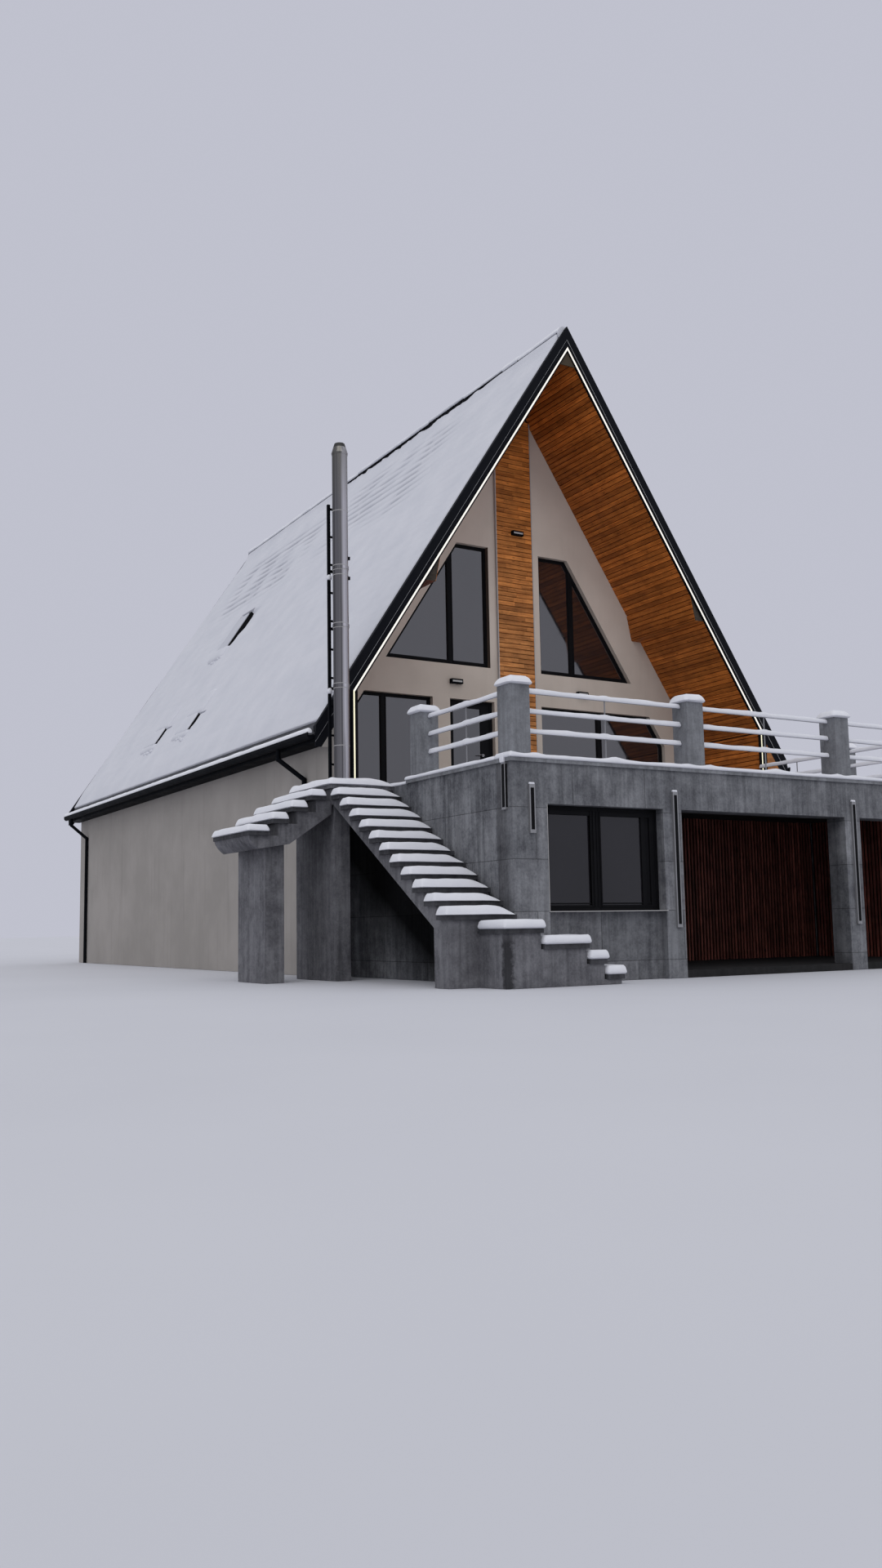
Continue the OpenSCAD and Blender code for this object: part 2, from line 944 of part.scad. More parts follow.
module linear_lamps() {
  color("silver") {
    block([-inner_x - 35, 100, 2270], [-inner_x, 190, terrace_z - 5]);
    both_sides()
      front_lamp(-4437, 1960, 2600);
    front_lamp(-1975, 700, 2600);
    front_lamp(1700, 700, 2600);
  }
}

// Railing
first_post_x = post_inset - inner_x;
post_xs = [first_post_x, first_post_x + post_pitch, first_post_x + 2 * post_pitch, -first_post_x - post_w];

module railing_piers() {
  z0 = terrace_z + coping_t;
  color("dimgray") {
    for (x = post_xs)
      block([x, post_inset, z0], [x + post_w, post_inset + post_w, terrace_z + post_h]);
    both_sides()
      block(
        [inner_x - post_inset - post_w, side_post_y, z0],
        [inner_x - post_inset, side_post_y + post_w, terrace_z + post_h]
      );
  }
}

// One bay of railing, between two points of its middle line
module railing_bay(p, q) {
  middle = (p + q) / 2;
  for (h = rail_heights)
    bar([p[0], p[1], terrace_z + h], [q[0], q[1], terrace_z + h], rail_r);
  translate([middle[0], middle[1], terrace_z + coping_t])
    cylinder(h = rail_heights[2] - coping_t, r = rail_post_r);
}

module railing_panels() {
  rail_y = post_inset + post_w / 2;
  rail_x = inner_x - rail_y;
  front_back_y = post_inset + post_w;
  side_back_y = side_post_y + post_w;
  color("gainsboro") {
    for (i = [0 : 2])
      railing_bay([post_xs[i] + post_w, rail_y], [post_xs[i + 1], rail_y]);
    railing_bay([-rail_x, front_back_y], [-rail_x, side_post_y]);
    railing_bay([rail_x, front_back_y], [rail_x, side_post_y]);
    railing_bay([rail_x, side_back_y], [rail_x, porch_y - verge_t - trim_t]);
  }
}

// Stairs
// Height of the top of tread number i, and place of its nosing along the flight
function tread_z(i) = terrace_z - i * riser;
function under_tread(i) = tread_z(i) - tread_t;
// Height of the underside of a waist at a distance d from the top landing
function waist_z(d) = terrace_z - waist_t - d * riser / run - waist_extra * d / (main_treads * run);

// Outline of a waist for n treads, as distance from the landing and height
function waist(n, start_z, end) = concat(
  [[0, start_z], [0, under_tread(1)]],
  [
    for (i = [1 : n])
      each [[i * run - tread_out, under_tread(i)], [i * run - tread_out, under_tread(min(i + 1, n))]]
  ],
  end
);

waist_x0 = -inner_x - flight_w + tread_out;

module main_flight_waist() {
  foot = main_treads * run - tread_out;
  outline = waist(main_treads, waist_z(0), [[foot, waist_z(foot)]]);
  color("gray")
    yz_plate([for (p = outline) [landing_y - p[0], p[1]]], waist_x0, flight_w - tread_out);
}

// The side flight's longer last tread and rounded foot, and its underside as distance and height
last_extra = 80;
side_foot = side_treads * run + tread_out + last_extra - 20;
side_end = [[0, 0], [-15, -45], [-50, -100], [-95, -150]];
side_low_z = under_tread(side_treads) - 190;
side_under = [
  [0, terrace_z - 440], [side_foot - 630, side_low_z + 75], [side_foot - 150, side_low_z]
];

module side_flight_waist() {
  outline = waist(side_treads, side_under[0][1], concat(
    [for (p = side_end) [side_foot + p[0], under_tread(side_treads) + p[1]]],
    [side_under[2], side_under[1]]
  ));
  color("gray")
    xz_plate(
      [for (p = outline) [waist_x0 - p[0], p[1]]],
      landing_y + tread_out, porch_y - 50 - landing_y - tread_out
    );
}

lower_run = 275;
lower_front_y = -660;
lower_x0 = -5305;
lower_ends = [-4788, -4086, -4086 + lower_run, -4086 + 2 * lower_run];
lower_riser = (tread_z(12) - 125) / 3;
lower_heights = [for (i = [0 : 3]) tread_z(12) - i * lower_riser];
lower_starts = [lower_x0, lower_ends[0], lower_ends[1], lower_ends[2]];

module stair_treads() {
  x0 = -inner_x - flight_w;
  color("gray") {
    for (i = [1 : main_treads])
      block(
        [x0, landing_y - i * run, under_tread(i)],
        [-inner_x, landing_y - (i - 1) * run - tread_out, tread_z(i)]
      );
    for (i = [1 : side_treads])
      block(
        [x0 - i * run - (i == side_treads ? last_extra : 0), landing_y, under_tread(i)],
        [x0 - (i - 1) * run - tread_out, porch_y - 50, tread_z(i)]
      );
    for (i = [0 : 3])
      block(
        [lower_starts[i] - (i == 0 ? 30 : -33), lower_front_y, lower_heights[i] - tread_t],
        [lower_ends[i] + 30, i == 0 ? -tread_out : 0, lower_heights[i]]
      );
  }
}

module lower_steps() {
  color("gray")
    for (i = [0 : 3])
      block(
        [lower_starts[i], lower_front_y + 30, 0],
        [lower_ends[i], 0, lower_heights[i] - tread_t]
      );
}

module top_landing() {
  x0 = -inner_x - flight_w;
  back = porch_y - 50;
  color("gray") {
    block([x0 + tread_out, landing_y, terrace_z - landing_t], [-inner_x, back, terrace_z - tread_t]);
    block([x0, landing_y - tread_out, terrace_z - tread_t], [-inner_x, back, terrace_z]);
  }
}

module stair_supports() {
  foot_y = landing_y - main_treads * run + tread_out;
  foot_d = 350;
  x0 = waist_x0;
  pier = [side_foot - 610, side_foot - 310];
  landing_low = terrace_z - landing_t;
  color("gray") {
    yz_plate(
      [
        [foot_y, 0], [foot_y + foot_d, 0],
        [foot_y + foot_d, waist_z(landing_y - foot_y - foot_d) - seat],
        [foot_y, waist_z(landing_y - foot_y) - seat]
      ],
      x0, flight_w - tread_out
    );
    block([x0 + 50, landing_y + tread_out, 0], [x0 + 300, porch_y - 50, landing_low]);
    xz_plate(
      [
        [x0 - pier[0], 0], [x0 - pier[0], lookup(pier[0], side_under) - seat],
        [x0 - pier[1], lookup(pier[1], side_under) - seat], [x0 - pier[1], 0]
      ],
      landing_y + 200, porch_y - landing_y - 450
    );
  }
}

// Flue
module flue_pipe() {
  cap_h = 140;
  top = flue_top_z - cap_h;
  color("silver")
    translate([-flue_x, flue_y, terrace_z]) {
      cylinder(h = top - terrace_z, r = flue_r);
      cylinder(h = 70, r = flue_r + 14);
      translate([0, 0, top - terrace_z])
        cylinder(h = cap_h, r1 = flue_r, r2 = flue_r * 0.6);
      for (z = [4570, 5550, 6500])
        translate([0, 0, z - terrace_z])
          cylinder(h = 50, r = flue_r + 8);
    }
}

module flue_mast() {
  rail = 45;
  mast_w = 330;
  x0 = -flue_x - 125;
  y0 = flue_y + flue_r + 70;
  top = 7640;
  pitch = 467;
  color("black") {
    for (x = [x0, x0 + mast_w - rail])
      block([x, y0, terrace_z], [x + rail, y0 + rail, top]);
    for (i = [1 : 10]) {
      z = terrace_z + i * pitch - 15;
      block([x0, y0 + 8, z], [x0 + mast_w, y0 + rail - 8, z + 30]);
    }
    for (z = [4575, 5555, 6505])
      block([-flue_x - 20, flue_y + flue_r + 8 + seat, z], [-flue_x + 20, y0 + rail, z + 40]);
    for (z = [4575, 5555, 6505])
      block([x0, y0, z], [x0 + mast_w, y0 + rail, z + 40]);
  }
}

ground_slab();
terrace_side_walls();
terrace_piers();
front_beam();
terrace_slab();
terrace_coping();
window_bay_wall();
room_side_wall();
cross_wall();
slat_wall();
left_side_wall();
right_side_wall();
back_foundation_wall();
main_floor();
loft_floor();
front_wall_left();
front_wall_right();
front_wall_upper();
back_wall();
wood_strip();
roof_left();
roof_right();
ridge_cap();
verges_left();
verges_right();
porch_soffits();
apex_collar();
porch_purlins();
cheek_linings();
portal_posts();
led_profile();
portal_infills();
eave_boxes();
gutters();
downpipes();
roof_window_frames();
roof_window_glass();
window_frames();
window_glass();
door_frame();
door_leaf();
door_glass();
door_handle();
wall_lights();
linear_lamps();
railing_piers();
railing_panels();
main_flight_waist();
side_flight_waist();
stair_treads();
lower_steps();
top_landing();
stair_supports();
flue_pipe();
flue_mast();
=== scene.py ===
"""Looks of the A-frame cabin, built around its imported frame. Metres, in the frame's own axes."""
import math
from functools import partial
import bpy
from mathutils import Matrix, Vector, noise


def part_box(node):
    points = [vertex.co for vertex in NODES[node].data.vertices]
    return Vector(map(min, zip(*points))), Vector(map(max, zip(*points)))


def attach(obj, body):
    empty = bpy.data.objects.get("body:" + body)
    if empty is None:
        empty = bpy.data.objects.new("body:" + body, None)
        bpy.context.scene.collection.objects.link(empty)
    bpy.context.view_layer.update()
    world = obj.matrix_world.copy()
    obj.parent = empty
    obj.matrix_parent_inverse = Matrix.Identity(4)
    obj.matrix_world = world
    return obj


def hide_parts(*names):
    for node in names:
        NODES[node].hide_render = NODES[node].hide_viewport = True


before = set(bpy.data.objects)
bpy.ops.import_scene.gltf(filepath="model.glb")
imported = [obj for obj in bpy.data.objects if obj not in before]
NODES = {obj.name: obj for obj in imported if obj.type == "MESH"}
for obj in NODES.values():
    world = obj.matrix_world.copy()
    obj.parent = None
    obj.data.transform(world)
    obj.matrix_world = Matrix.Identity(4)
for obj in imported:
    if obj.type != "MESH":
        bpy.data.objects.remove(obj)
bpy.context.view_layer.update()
scene = bpy.context.scene

# Roof
RIDGE_Z, EAVE_Z, EAVE_X = 12.06, 3.9, 5.36
SLOPE = (RIDGE_Z - EAVE_Z) / EAVE_X
ANGLE = math.atan(SLOPE)
COS, SIN = math.cos(ANGLE), math.sin(ANGLE)
SLOPE_LEN = EAVE_X / COS
SOFFIT_D, LINING_D = 0.195, 0.2053
PORCH_Y, WALL_Y, ROOF_END_Y = 4.74, 6.705, 20.565
FLOOR_Z = 2.9
PURLIN_Z = 6.757
# Start along y, start down the slope and length of each roof window
ROOF_WINDOWS = [(14.92, 4.08, 1.4), (13.16, 7.05, 1.18), (15.52, 7.05, 1.18)]
ROOF_WINDOW_W = 0.78
SIDE_WALL_X = 4.49


def under(x, d):
    """Height of a line parallel to the roof, a depth d under its top face."""
    return RIDGE_Z - d / COS - SLOPE * abs(x)


def reach(z, d):
    """Distance from the ridge line at which that line reaches a height z."""
    return (RIDGE_Z - d / COS - z) / SLOPE


def on_roof(s, y, up, side):
    """A point s down the slope and up from its top face, on one side of the ridge."""
    return Vector((side * (s * COS + up * SIN), y, RIDGE_Z - s * SIN + up * COS))


def wave(x, y, z=0, size=1):
    """Smooth noise from about -1 to 1."""
    return noise.noise(Vector((x / size, y / size, z)))


def add_object(name, data):
    made = bpy.data.objects.new(name, data)
    scene.collection.objects.link(made)
    return made


# Meshes
SHAPES = []


class Shape:
    """One joined piece, with a tone for each part of it. The slot is not used, and faces that meet at less
    than the angle smooth are shaded as one."""

    def __init__(self, name, material, slot, smooth=None):
        self.name, self.material, self.slot, self.smooth = name, material, slot, smooth
        self.verts, self.faces, self.tones = [], [], []
        SHAPES.append(self)

    def add(self, verts, faces, tone=0.5):
        first = len(self.verts)
        self.verts += [tuple(v) for v in verts]
        self.faces += [tuple(first + i for i in f) for f in faces]
        self.tones += tone if isinstance(tone, list) else [tone] * len(verts)

    def loft(self, low, high, tone=0.5):
        """A closed body between two outlines with as many points each."""
        n = len(low)
        faces = [(i, (i + 1) % n, n + (i + 1) % n, n + i) for i in range(n)]
        faces += [tuple(range(n))[::-1], tuple(range(n, 2 * n))]
        self.add([*low, *high], faces, tone)

    def prism(self, outline, along, tone=0.5):
        """A closed prism from an outline of points and a vector along its length."""
        low = [Vector(p) for p in outline]
        self.loft(low, [p + Vector(along) for p in low], tone)

    def plate(self, outline, y, deep, tone=0.5):
        """A plate over an outline of (x, z) points, from y on."""
        self.prism([(x, y, z) for x, z in outline], (0, deep, 0), tone)

    def box(self, low, high, tone=0.5, bevel=0):
        """A box, with its edges along its longest side taken off by a bevel."""
        size = [high[i] - low[i] for i in range(3)]
        axis = size.index(max(size))
        a, b = [i for i in range(3) if i != axis]
        w, h = size[a], size[b]
        k = min(bevel, w / 3, h / 3)
        cuts = [(0, 0), (w, 0), (w, h), (0, h)]
        if k > 0:
            cuts = [(k, 0), (w - k, 0), (w, k), (w, h - k), (w - k, h), (k, h), (0, h - k), (0, k)]
        outline = []
        for p, q in cuts:
            v = list(low)
            v[a] += p
            v[b] += q
            outline.append(v)
        along = [0, 0, 0]
        along[axis] = size[axis]
        self.prism(outline, along, tone)

    def make(self):
        mesh = bpy.data.meshes.new(self.name)
        mesh.from_pydata(self.verts, [], self.faces)
        tone = mesh.attributes.new("tone", "FLOAT", "POINT")
        tone.data.foreach_set("value", self.tones)
        mesh.materials.append(self.material)
        mesh.validate()
        mesh.update()
        piece = add_object(self.name, mesh)
        bpy.ops.object.select_all(action="DESELECT")
        bpy.context.view_layer.objects.active = piece
        piece.select_set(True)
        bpy.ops.object.mode_set(mode="EDIT")
        bpy.ops.mesh.select_all(action="SELECT")
        bpy.ops.mesh.normals_make_consistent(inside=False)
        bpy.ops.object.mode_set(mode="OBJECT")
        if self.smooth:
            bpy.ops.object.shade_smooth_by_angle(angle=math.radians(self.smooth))
        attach(piece, "cabin")
        return piece


def hashed(*values):
    """A steady number from 0 to 1 for some values."""
    total = sum(v * k for v, k in zip(values, (12.9898, 78.233, 37.719)))
    return math.modf(abs(math.sin(total) * 43758.5453))[0]


# Materials
def dim(colour, share):
    """A colour made darker, or paler with a share over 1."""
    return tuple(share * c for c in colour)


class Nodes:
    """The nodes of a material or of the world."""

    def __init__(self, tree):
        self.tree = tree

    def feed(self, socket, value):
        """Links a socket to another one, or sets it. A colour of three numbers gets a full alpha."""
        if isinstance(value, bpy.types.NodeSocket):
            self.tree.links.new(value, socket)
        else:
            socket.default_value = (*value, 1) if isinstance(value, tuple) else value

    def fill(self, node, values):
        for name, value in values.items():
            self.feed(node.inputs[name.replace("_", " ")], value)
        return node

    def node(self, kind, **inputs):
        return self.fill(self.tree.nodes.new("ShaderNode" + kind), inputs)

    def math(self, operation, a, b):
        made = self.node("Math")
        made.operation = operation
        self.feed(made.inputs[0], a)
        self.feed(made.inputs[1], b)
        return made.outputs[0]

    def product(self, a, b):
        return self.math("MULTIPLY", a, b)

    def total(self, *parts):
        """The sum of some values, each with its weight."""
        whole, *more = [self.product(value, weight) for value, weight in parts]
        for part in more:
            whole = self.math("ADD", whole, part)
        return whole


class Look(Nodes):
    """A procedural material on one Principled shader."""

    def __init__(self, name, rough=0.5, metal=0, ior=1.45, shine=0.5):
        self.material = bpy.data.materials.new(name)
        self.material.use_nodes = True
        super().__init__(self.material.node_tree)
        self.shader = self.tree.nodes["Principled BSDF"]
        self.set(Roughness=rough, Metallic=metal, IOR=ior, Specular_IOR_Level=shine)
        self.here = self.node("TexCoord").outputs["Object"]

    def set(self, **values):
        self.fill(self.shader, values)

    def scaled(self, size, place=None):
        made = self.node("Mapping", Vector=place or self.here)
        made.inputs["Scale"].default_value = size
        return made.outputs[0]

    def noise(self, scale, detail, rough=0.55, place=None):
        """Noise of one scale, or of a scale along each axis."""
        if isinstance(scale, tuple):
            scale, place = 1, self.scaled(scale, place)
        made = self.node("TexNoise", Vector=place or self.here, Scale=scale, Detail=detail, Roughness=rough)
        return made.outputs["Fac"]

    def ramp(self, value, *stops):
        """A row of colours over a value, each given as its place and its colour."""
        made = self.node("ValToRGB", Fac=value)
        points = made.color_ramp.elements
        for _ in stops[2:]:
            points.new(0.5)
        for point, (place, colour) in zip(points, stops):
            point.position = place
            point.color = (*colour, 1)
        return made.outputs["Color"]

    def span(self, value, low, high, to_low=0, to_high=1):
        """A stretch of a value, carried over to another stretch and held at its ends."""
        made = self.node("MapRange", Value=value, From_Min=low, From_Max=high, To_Min=to_low, To_Max=to_high)
        return made.outputs["Result"]

    def mix(self, amount, a, b, mode="MIX"):
        made = self.node("Mix")
        made.data_type, made.blend_type = "RGBA", mode
        for place, value in ((0, amount), (6, a), (7, b)):
            self.feed(made.inputs[place], value)
        return made.outputs[2]

    def times(self, colour, other):
        return self.mix(1, colour, other, "MULTIPLY")

    def finished(self, colour, height, strength, distance, rough=None):
        """The material with its colour, its bump and, where it varies, its roughness."""
        bump = self.node("Bump", Height=height, Strength=strength, Distance=distance)
        self.set(Base_Color=colour, Normal=bump.outputs[0])
        if rough:
            self.set(Roughness=rough)
        return self.material

    def axes(self):
        return self.node("SeparateXYZ", Vector=self.here).outputs

    def tone(self):
        made = self.node("Attribute")
        made.attribute_name = "tone"
        return made.outputs["Fac"]


def concrete(name, light=(0.235, 0.238, 0.255), dark=(0.08, 0.081, 0.092), streaks=0.5, panels=False,
             painted_bay_shade=False, painted_shade_under_stair=False, wet_corner=False):
    """Blotched concrete with damp streaks, and where it is asked for with shuttering panels, painted shade in
    the bays, painted shade under the stair or a soaked corner at its foot."""
    # A low shine where the wall under the stair has painted shade, so reflections don't lift it
    look = Look(name, rough=0.85, shine=0.04 if painted_shade_under_stair else 0.35)
    x, y, z = look.axes()
    blotch = look.noise(1.3, 5, 0.6)
    cloud = look.noise(7, 4, 0.6)
    grain = look.noise(30, 5, 0.7)
    combed = look.noise((13, 13, 0.9), 4, 0.6)
    value = look.total((blotch, 0.34), (cloud, 0.2), (grain, 0.22), (combed, 0.24))
    middle = tuple((a + b) / 2 for a, b in zip(dark, light))
    colour = look.ramp(value, (0.41, dark), (0.5, middle), (0.58, light))
    run = look.noise((9, 9, 0.45), 4, 0.6)
    damp = look.span(run, 0.5, 0.72, 0, streaks)
    colour = look.mix(damp, colour, dim(dark, 0.62))
    height = look.total((grain, 0.6), (cloud, 0.4))
    if wet_corner:
        ragged = look.product(look.noise((14, 14, 20), 3), 0.16)
        near = look.span(look.math("ADD", x, ragged), -5.16, -5.1, 0.9, 0)
        low = look.span(z, 0.55, 0.7, 1, 0)
        front = look.span(look.math("ADD", y, ragged), -0.5, -0.44, 1, 0)
        colour = look.mix(look.product(near, look.product(low, front)), colour, dim(dark, 0.3))
    # Painted shade: the side wall's outer face is near black in a band under the stair's waist, for the
    # shadow under the flight
    if painted_shade_under_stair:
        below = look.math("SUBTRACT", look.math("ADD", look.product(y, 0.604), 0.49), z)
        shade = look.product(look.span(below, -0.4, -0.32), look.span(below, 1.4, 2.5, 0.97, 0))
        shade = look.product(shade, look.span(x, -4.2, -4.1, 1, 0))
        colour = look.mix(shade, colour, dim(dark, 0.03))
    if panels:
        flat = look.node("CombineXYZ", X=look.math("ADD", x, y), Y=look.math("SUBTRACT", z, 0.26)).outputs[0]
        brick = look.node("TexBrick", Vector=flat, Scale=1, Mortar_Size=0.005, Mortar_Smooth=0.3, Bias=0,
                          Brick_Width=1.25, Row_Height=0.68, Color1=(0.82, 0.83, 0.84),
                          Color2=(1.12, 1.12, 1.12), Mortar=(0.4, 0.4, 0.4))
        brick.offset, brick.squash = 0.5, 1
        colour = look.times(colour, brick.outputs["Color"])
        height = look.math("SUBTRACT", height, look.product(brick.outputs["Fac"], 1.5))
    if painted_bay_shade:
        # Painted shade: faces set back behind the front plane, in the bays and their reveals, are darker
        deep = look.product(look.span(y, 0.02, 0.25), 0.9)
        colour = look.mix(deep, colour, look.times(colour, (0.5, 0.49, 0.5)))
    return look.finished(colour, height, 0.35, 0.004, look.span(damp, 0, 0.5, 0.9, 0.55))


def pine(name, along, light, dark, contrast=1, faded=0):
    """Boards: the grain runs along one axis, each board has its own tone, and low ones may be faded."""
    look = Look(name, rough=0.5, shine=0.22)
    tone = look.tone()
    shift = look.node("CombineXYZ", X=look.product(tone, 37), Y=look.product(tone, 53),
                      Z=look.product(tone, 71))
    moved = look.node("VectorMath")
    look.feed(moved.inputs[0], look.here)
    look.feed(moved.inputs[1], shift.outputs[0])
    place = moved.outputs[0]

    def drawn_out(across, length):
        return tuple(length if axis == along else across for axis in range(3))

    grain = look.noise(drawn_out(26, 1.1), 5, 0.62, place)
    fine = look.noise(drawn_out(104, 4.4), 3, 0.6, place)
    knots = look.node("TexVoronoi", Vector=look.scaled(drawn_out(9, 3.4), place), Scale=1)
    knot = look.span(knots.outputs["Distance"], 0, 0.17, 0.85, 0)
    colour = look.ramp(look.total((grain, 0.75), (fine, 0.25)), (0.34, dark), (0.62, light))
    colour = look.mix(knot, colour, dim(dark, 0.3))
    step = 0.22 * contrast
    board = look.ramp(tone, (0, (1 - step, 0.98 - step, 0.96 - step)), (0.5, (0.98, 0.98, 0.98)),
                      (1, (1 + step, 0.98 + step, 0.95 + step)))
    patch = look.ramp(look.noise(3.2, 5, 0.65), (0.36, (1 - 0.7 * step,) * 3), (0.5, (1,) * 3),
                      (0.64, (1 + 0.5 * step,) * 3))
    colour = look.times(look.times(colour, board), patch)
    if faded:
        low = look.span(look.axes()[2], 6, 9, faded, 0)
        colour = look.mix(low, colour, look.times(colour, (0.8, 0.98, 1.5)))
    return look.finished(colour, grain, 0.15, 0.002, look.span(grain, 0.3, 0.7, 0.38, 0.55))


def render_coat(name, light, dark, stain, painted_low_shade=1):
    """Painted render with faint stains, and painted shade low down where it is asked for."""
    look = Look(name, rough=0.92)
    colour = look.ramp(look.noise(0.9, 4, 0.55), (0.35, dark), (0.65, light))
    run = look.noise((5, 5, 0.3), 4, 0.6)
    colour = look.mix(look.span(run, 0.56, 0.78, 0, stain), colour, dim(dark, 0.7))
    # Painted shade: below about 6 m the colour is multiplied by the given share
    low = look.span(look.axes()[2], 5.4, 6.6, 1, 0)
    colour = look.mix(low, colour, look.times(colour, (painted_low_shade,) * 3))
    return look.finished(colour, look.noise(160, 2, 0.6), 0.3, 0.0015)


def paint(name, base, rough, metal=0, dust=0.12, shine=0.5):
    look = Look(name, rough=rough, metal=metal, shine=shine)
    cloud = look.noise(3, 4, 0.6)
    pale = tuple(min(1, c + 0.05) for c in base)
    colour = look.mix(look.span(cloud, 0.45, 0.75, 0, dust), base, pale)
    worn = look.span(cloud, 0.3, 0.7, rough - 0.07, rough + 0.1)
    return look.finished(colour, look.noise(90, 2, 0.5), 0.04, 0.001, worn)


def brushed_steel(name, base, painted_bands_and_soot=False):
    """Drawn steel; the flue gets painted shading and reflection bands along it, ramped across the pipe as
    seen from the front, and soot at its top.
    """
    look = Look(name, rough=0.3, metal=1)
    brush = look.noise((40, 40, 0.1), 3, 0.6)
    colour = look.ramp(brush, (0.38, dim(base, 0.72)), (0.62, dim(base, 1.12)))
    if painted_bands_and_soot:
        x, y, z = look.axes()
        # Painted light: the ramp across the pipe paints its shaded side and the reflected bands of the sky
        middle, radius = -6.445, 0.125
        place = look.span(look.total((x, 0.897), (y, -0.442)), middle - radius, middle + radius)
        wander = look.product(look.noise((1, 1, 1.3), 2), 0.05)
        stops = ((0, 0.1), (0.09, 0.075), (0.19, 0.15), (0.34, 0.2), (0.46, 0.22), (0.53, 0.15),
                 (0.58, 0.19), (0.66, 0.46), (0.75, 0.72), (0.84, 0.68), (0.93, 0.46), (1, 0.42))
        painted_light_bands = look.ramp(look.math("ADD", place, wander), *[(at, (k, 0.985 * k, k)) for at, k in stops])
        colour = look.mix(look.span(z, 7.6, 8.5, 0, 0.45), look.times(colour, painted_light_bands), (0.15, 0.143, 0.11))
    return look.finished(colour, brush, 0.04, 0.001, look.span(brush, 0.3, 0.7, 0.22, 0.4))


def window_glass(name, tint, ior, alpha):
    look = Look(name, rough=0.04, ior=ior)
    cloud = look.noise(0.8, 3, 0.5)
    colour = look.mix(look.span(cloud, 0.35, 0.65), tint, dim(tint, 0.72))
    smears = look.span(look.noise(14, 4, 0.6), 0.4, 0.75, 0.03, 0.09)
    look.set(Alpha=alpha)
    return look.finished(colour, look.noise(0.55, 1, 0.4), 0.03, 0.05, smears)


def snow(name):
    look = Look(name, rough=0.75)
    cloud = look.noise(1.6, 4, 0.5)
    grain = look.noise(120, 3, 0.7)
    lump = look.noise(14, 4, 0.55)
    colour = look.ramp(look.total((cloud, 0.7), (lump, 0.3)), (0.32, (0.53, 0.54, 0.6)),
                       (0.66, (0.59, 0.595, 0.65)))
    # The tone of each part scales the colour; low tones carry the painted shade at the roof's courses
    thin = look.ramp(look.tone(), (0, (0.62, 0.63, 0.66)), (0.5, (1, 1, 1)),
                     (1, (1.32, 1.31, 1.27)))
    height = look.total((grain, 0.35), (lump, 0.65))
    return look.finished(look.times(colour, thin), height, 0.35, 0.006)


def glow(name, colour, strength):
    look = Look(name, rough=0.4, shine=0.2)
    flicker = look.noise(6, 2, 0.5)
    look.set(Base_Color=look.ramp(flicker, (0.3, dim(colour, 0.2)), (0.7, dim(colour, 0.16))),
             Emission_Color=look.ramp(flicker, (0.3, colour), (0.7, dim(colour, 0.93))),
             Emission_Strength=strength)
    return look.material


def roof_tile(name):
    look = Look(name, rough=0.6)
    cloud = look.noise(4, 4, 0.6)
    colour = look.ramp(cloud, (0.35, (0.02, 0.021, 0.026)), (0.65, (0.042, 0.043, 0.05)))
    return look.finished(colour, look.noise(180, 2, 0.6), 0.3, 0.0015)


# Painted shade: near-black concrete for the floor of the bays and the terrace's underside, where shade falls;
# its streaks are damp
PAINTED_SHADE_FLOOR = concrete("painted_shade_floor", (0.02, 0.019, 0.02), (0.008, 0.008, 0.008), 0.3)
BEIGE = render_coat("side_render", (0.335, 0.31, 0.295), (0.285, 0.265, 0.25), 0.45)
PINE_Y = pine("pine_boards_long", 1, (0.56, 0.182, 0.036), (0.27, 0.072, 0.012), 1.3)
# Painted shade: a darker copy of the pine for the left purlin's underside
PAINTED_SHADE_PURLIN_WOOD = pine("purlin_underside", 1, (0.2, 0.07, 0.04), (0.09, 0.028, 0.016), 1.2)
PINE_X = pine("pine_boards_cross", 0, (0.68, 0.25, 0.058), (0.33, 0.1, 0.018), 1.3, faded=0.8)
# Painted shade: near-black wood for the purlins' end faces, which lie in the soffit's shadow
PAINTED_SHADE_END_WOOD = pine("purlin_end_painted_shade", 1, (0.06, 0.048, 0.036), (0.028, 0.021, 0.016))
SLAT = pine("dark_slats", 2, (0.215, 0.068, 0.051), (0.056, 0.018, 0.015), 1.8)
BACKING = paint("groove_backing", (0.01, 0.005, 0.003), 0.9, dust=0.02, shine=0.1)
BLACK = paint("black_metal", (0.003, 0.0036, 0.0055), 0.62, dust=0.03, shine=0.05)
FRAME_BLACK = paint("window_frame_black", (0.0048, 0.0048, 0.006), 0.55, dust=0.06, shine=0.1)
REVEAL = paint("reveal_trim", (0.115, 0.092, 0.078), 0.6, dust=0.05, shine=0.15)
APEX_PLATE = paint("apex_plate_paint", (0.06, 0.046, 0.031), 0.6, dust=0.08, shine=0.15)
SLOT_BLACK = paint("slot_black", (0.004, 0.004, 0.005), 0.6, dust=0.03, shine=0.1)
PALE_FACE = paint("pale_face", (0.42, 0.41, 0.41), 0.5)
# Painted highlight: a pale line for the lit edge of the verge's black metal
VERGE_HIGHLIGHT = paint("verge_painted_highlight", (0.42, 0.42, 0.43), 0.45)
FLUE_STEEL = brushed_steel("flue_steel", (0.98, 0.97, 0.98), painted_bands_and_soot=True)
SOOT = paint("flue_top", (0.035, 0.034, 0.032), 0.6, metal=0.3)
LOWER_GLASS = window_glass("lower_glass_look", (0.012, 0.011, 0.014), 1.52, 0.96)
SNOW = snow("snow_cover")
LED = glow("strip_glow", (1, 0.965, 0.9), 0.98)
LED_LOW = glow("strip_glow_low", (1, 0.945, 0.7), 0.99)

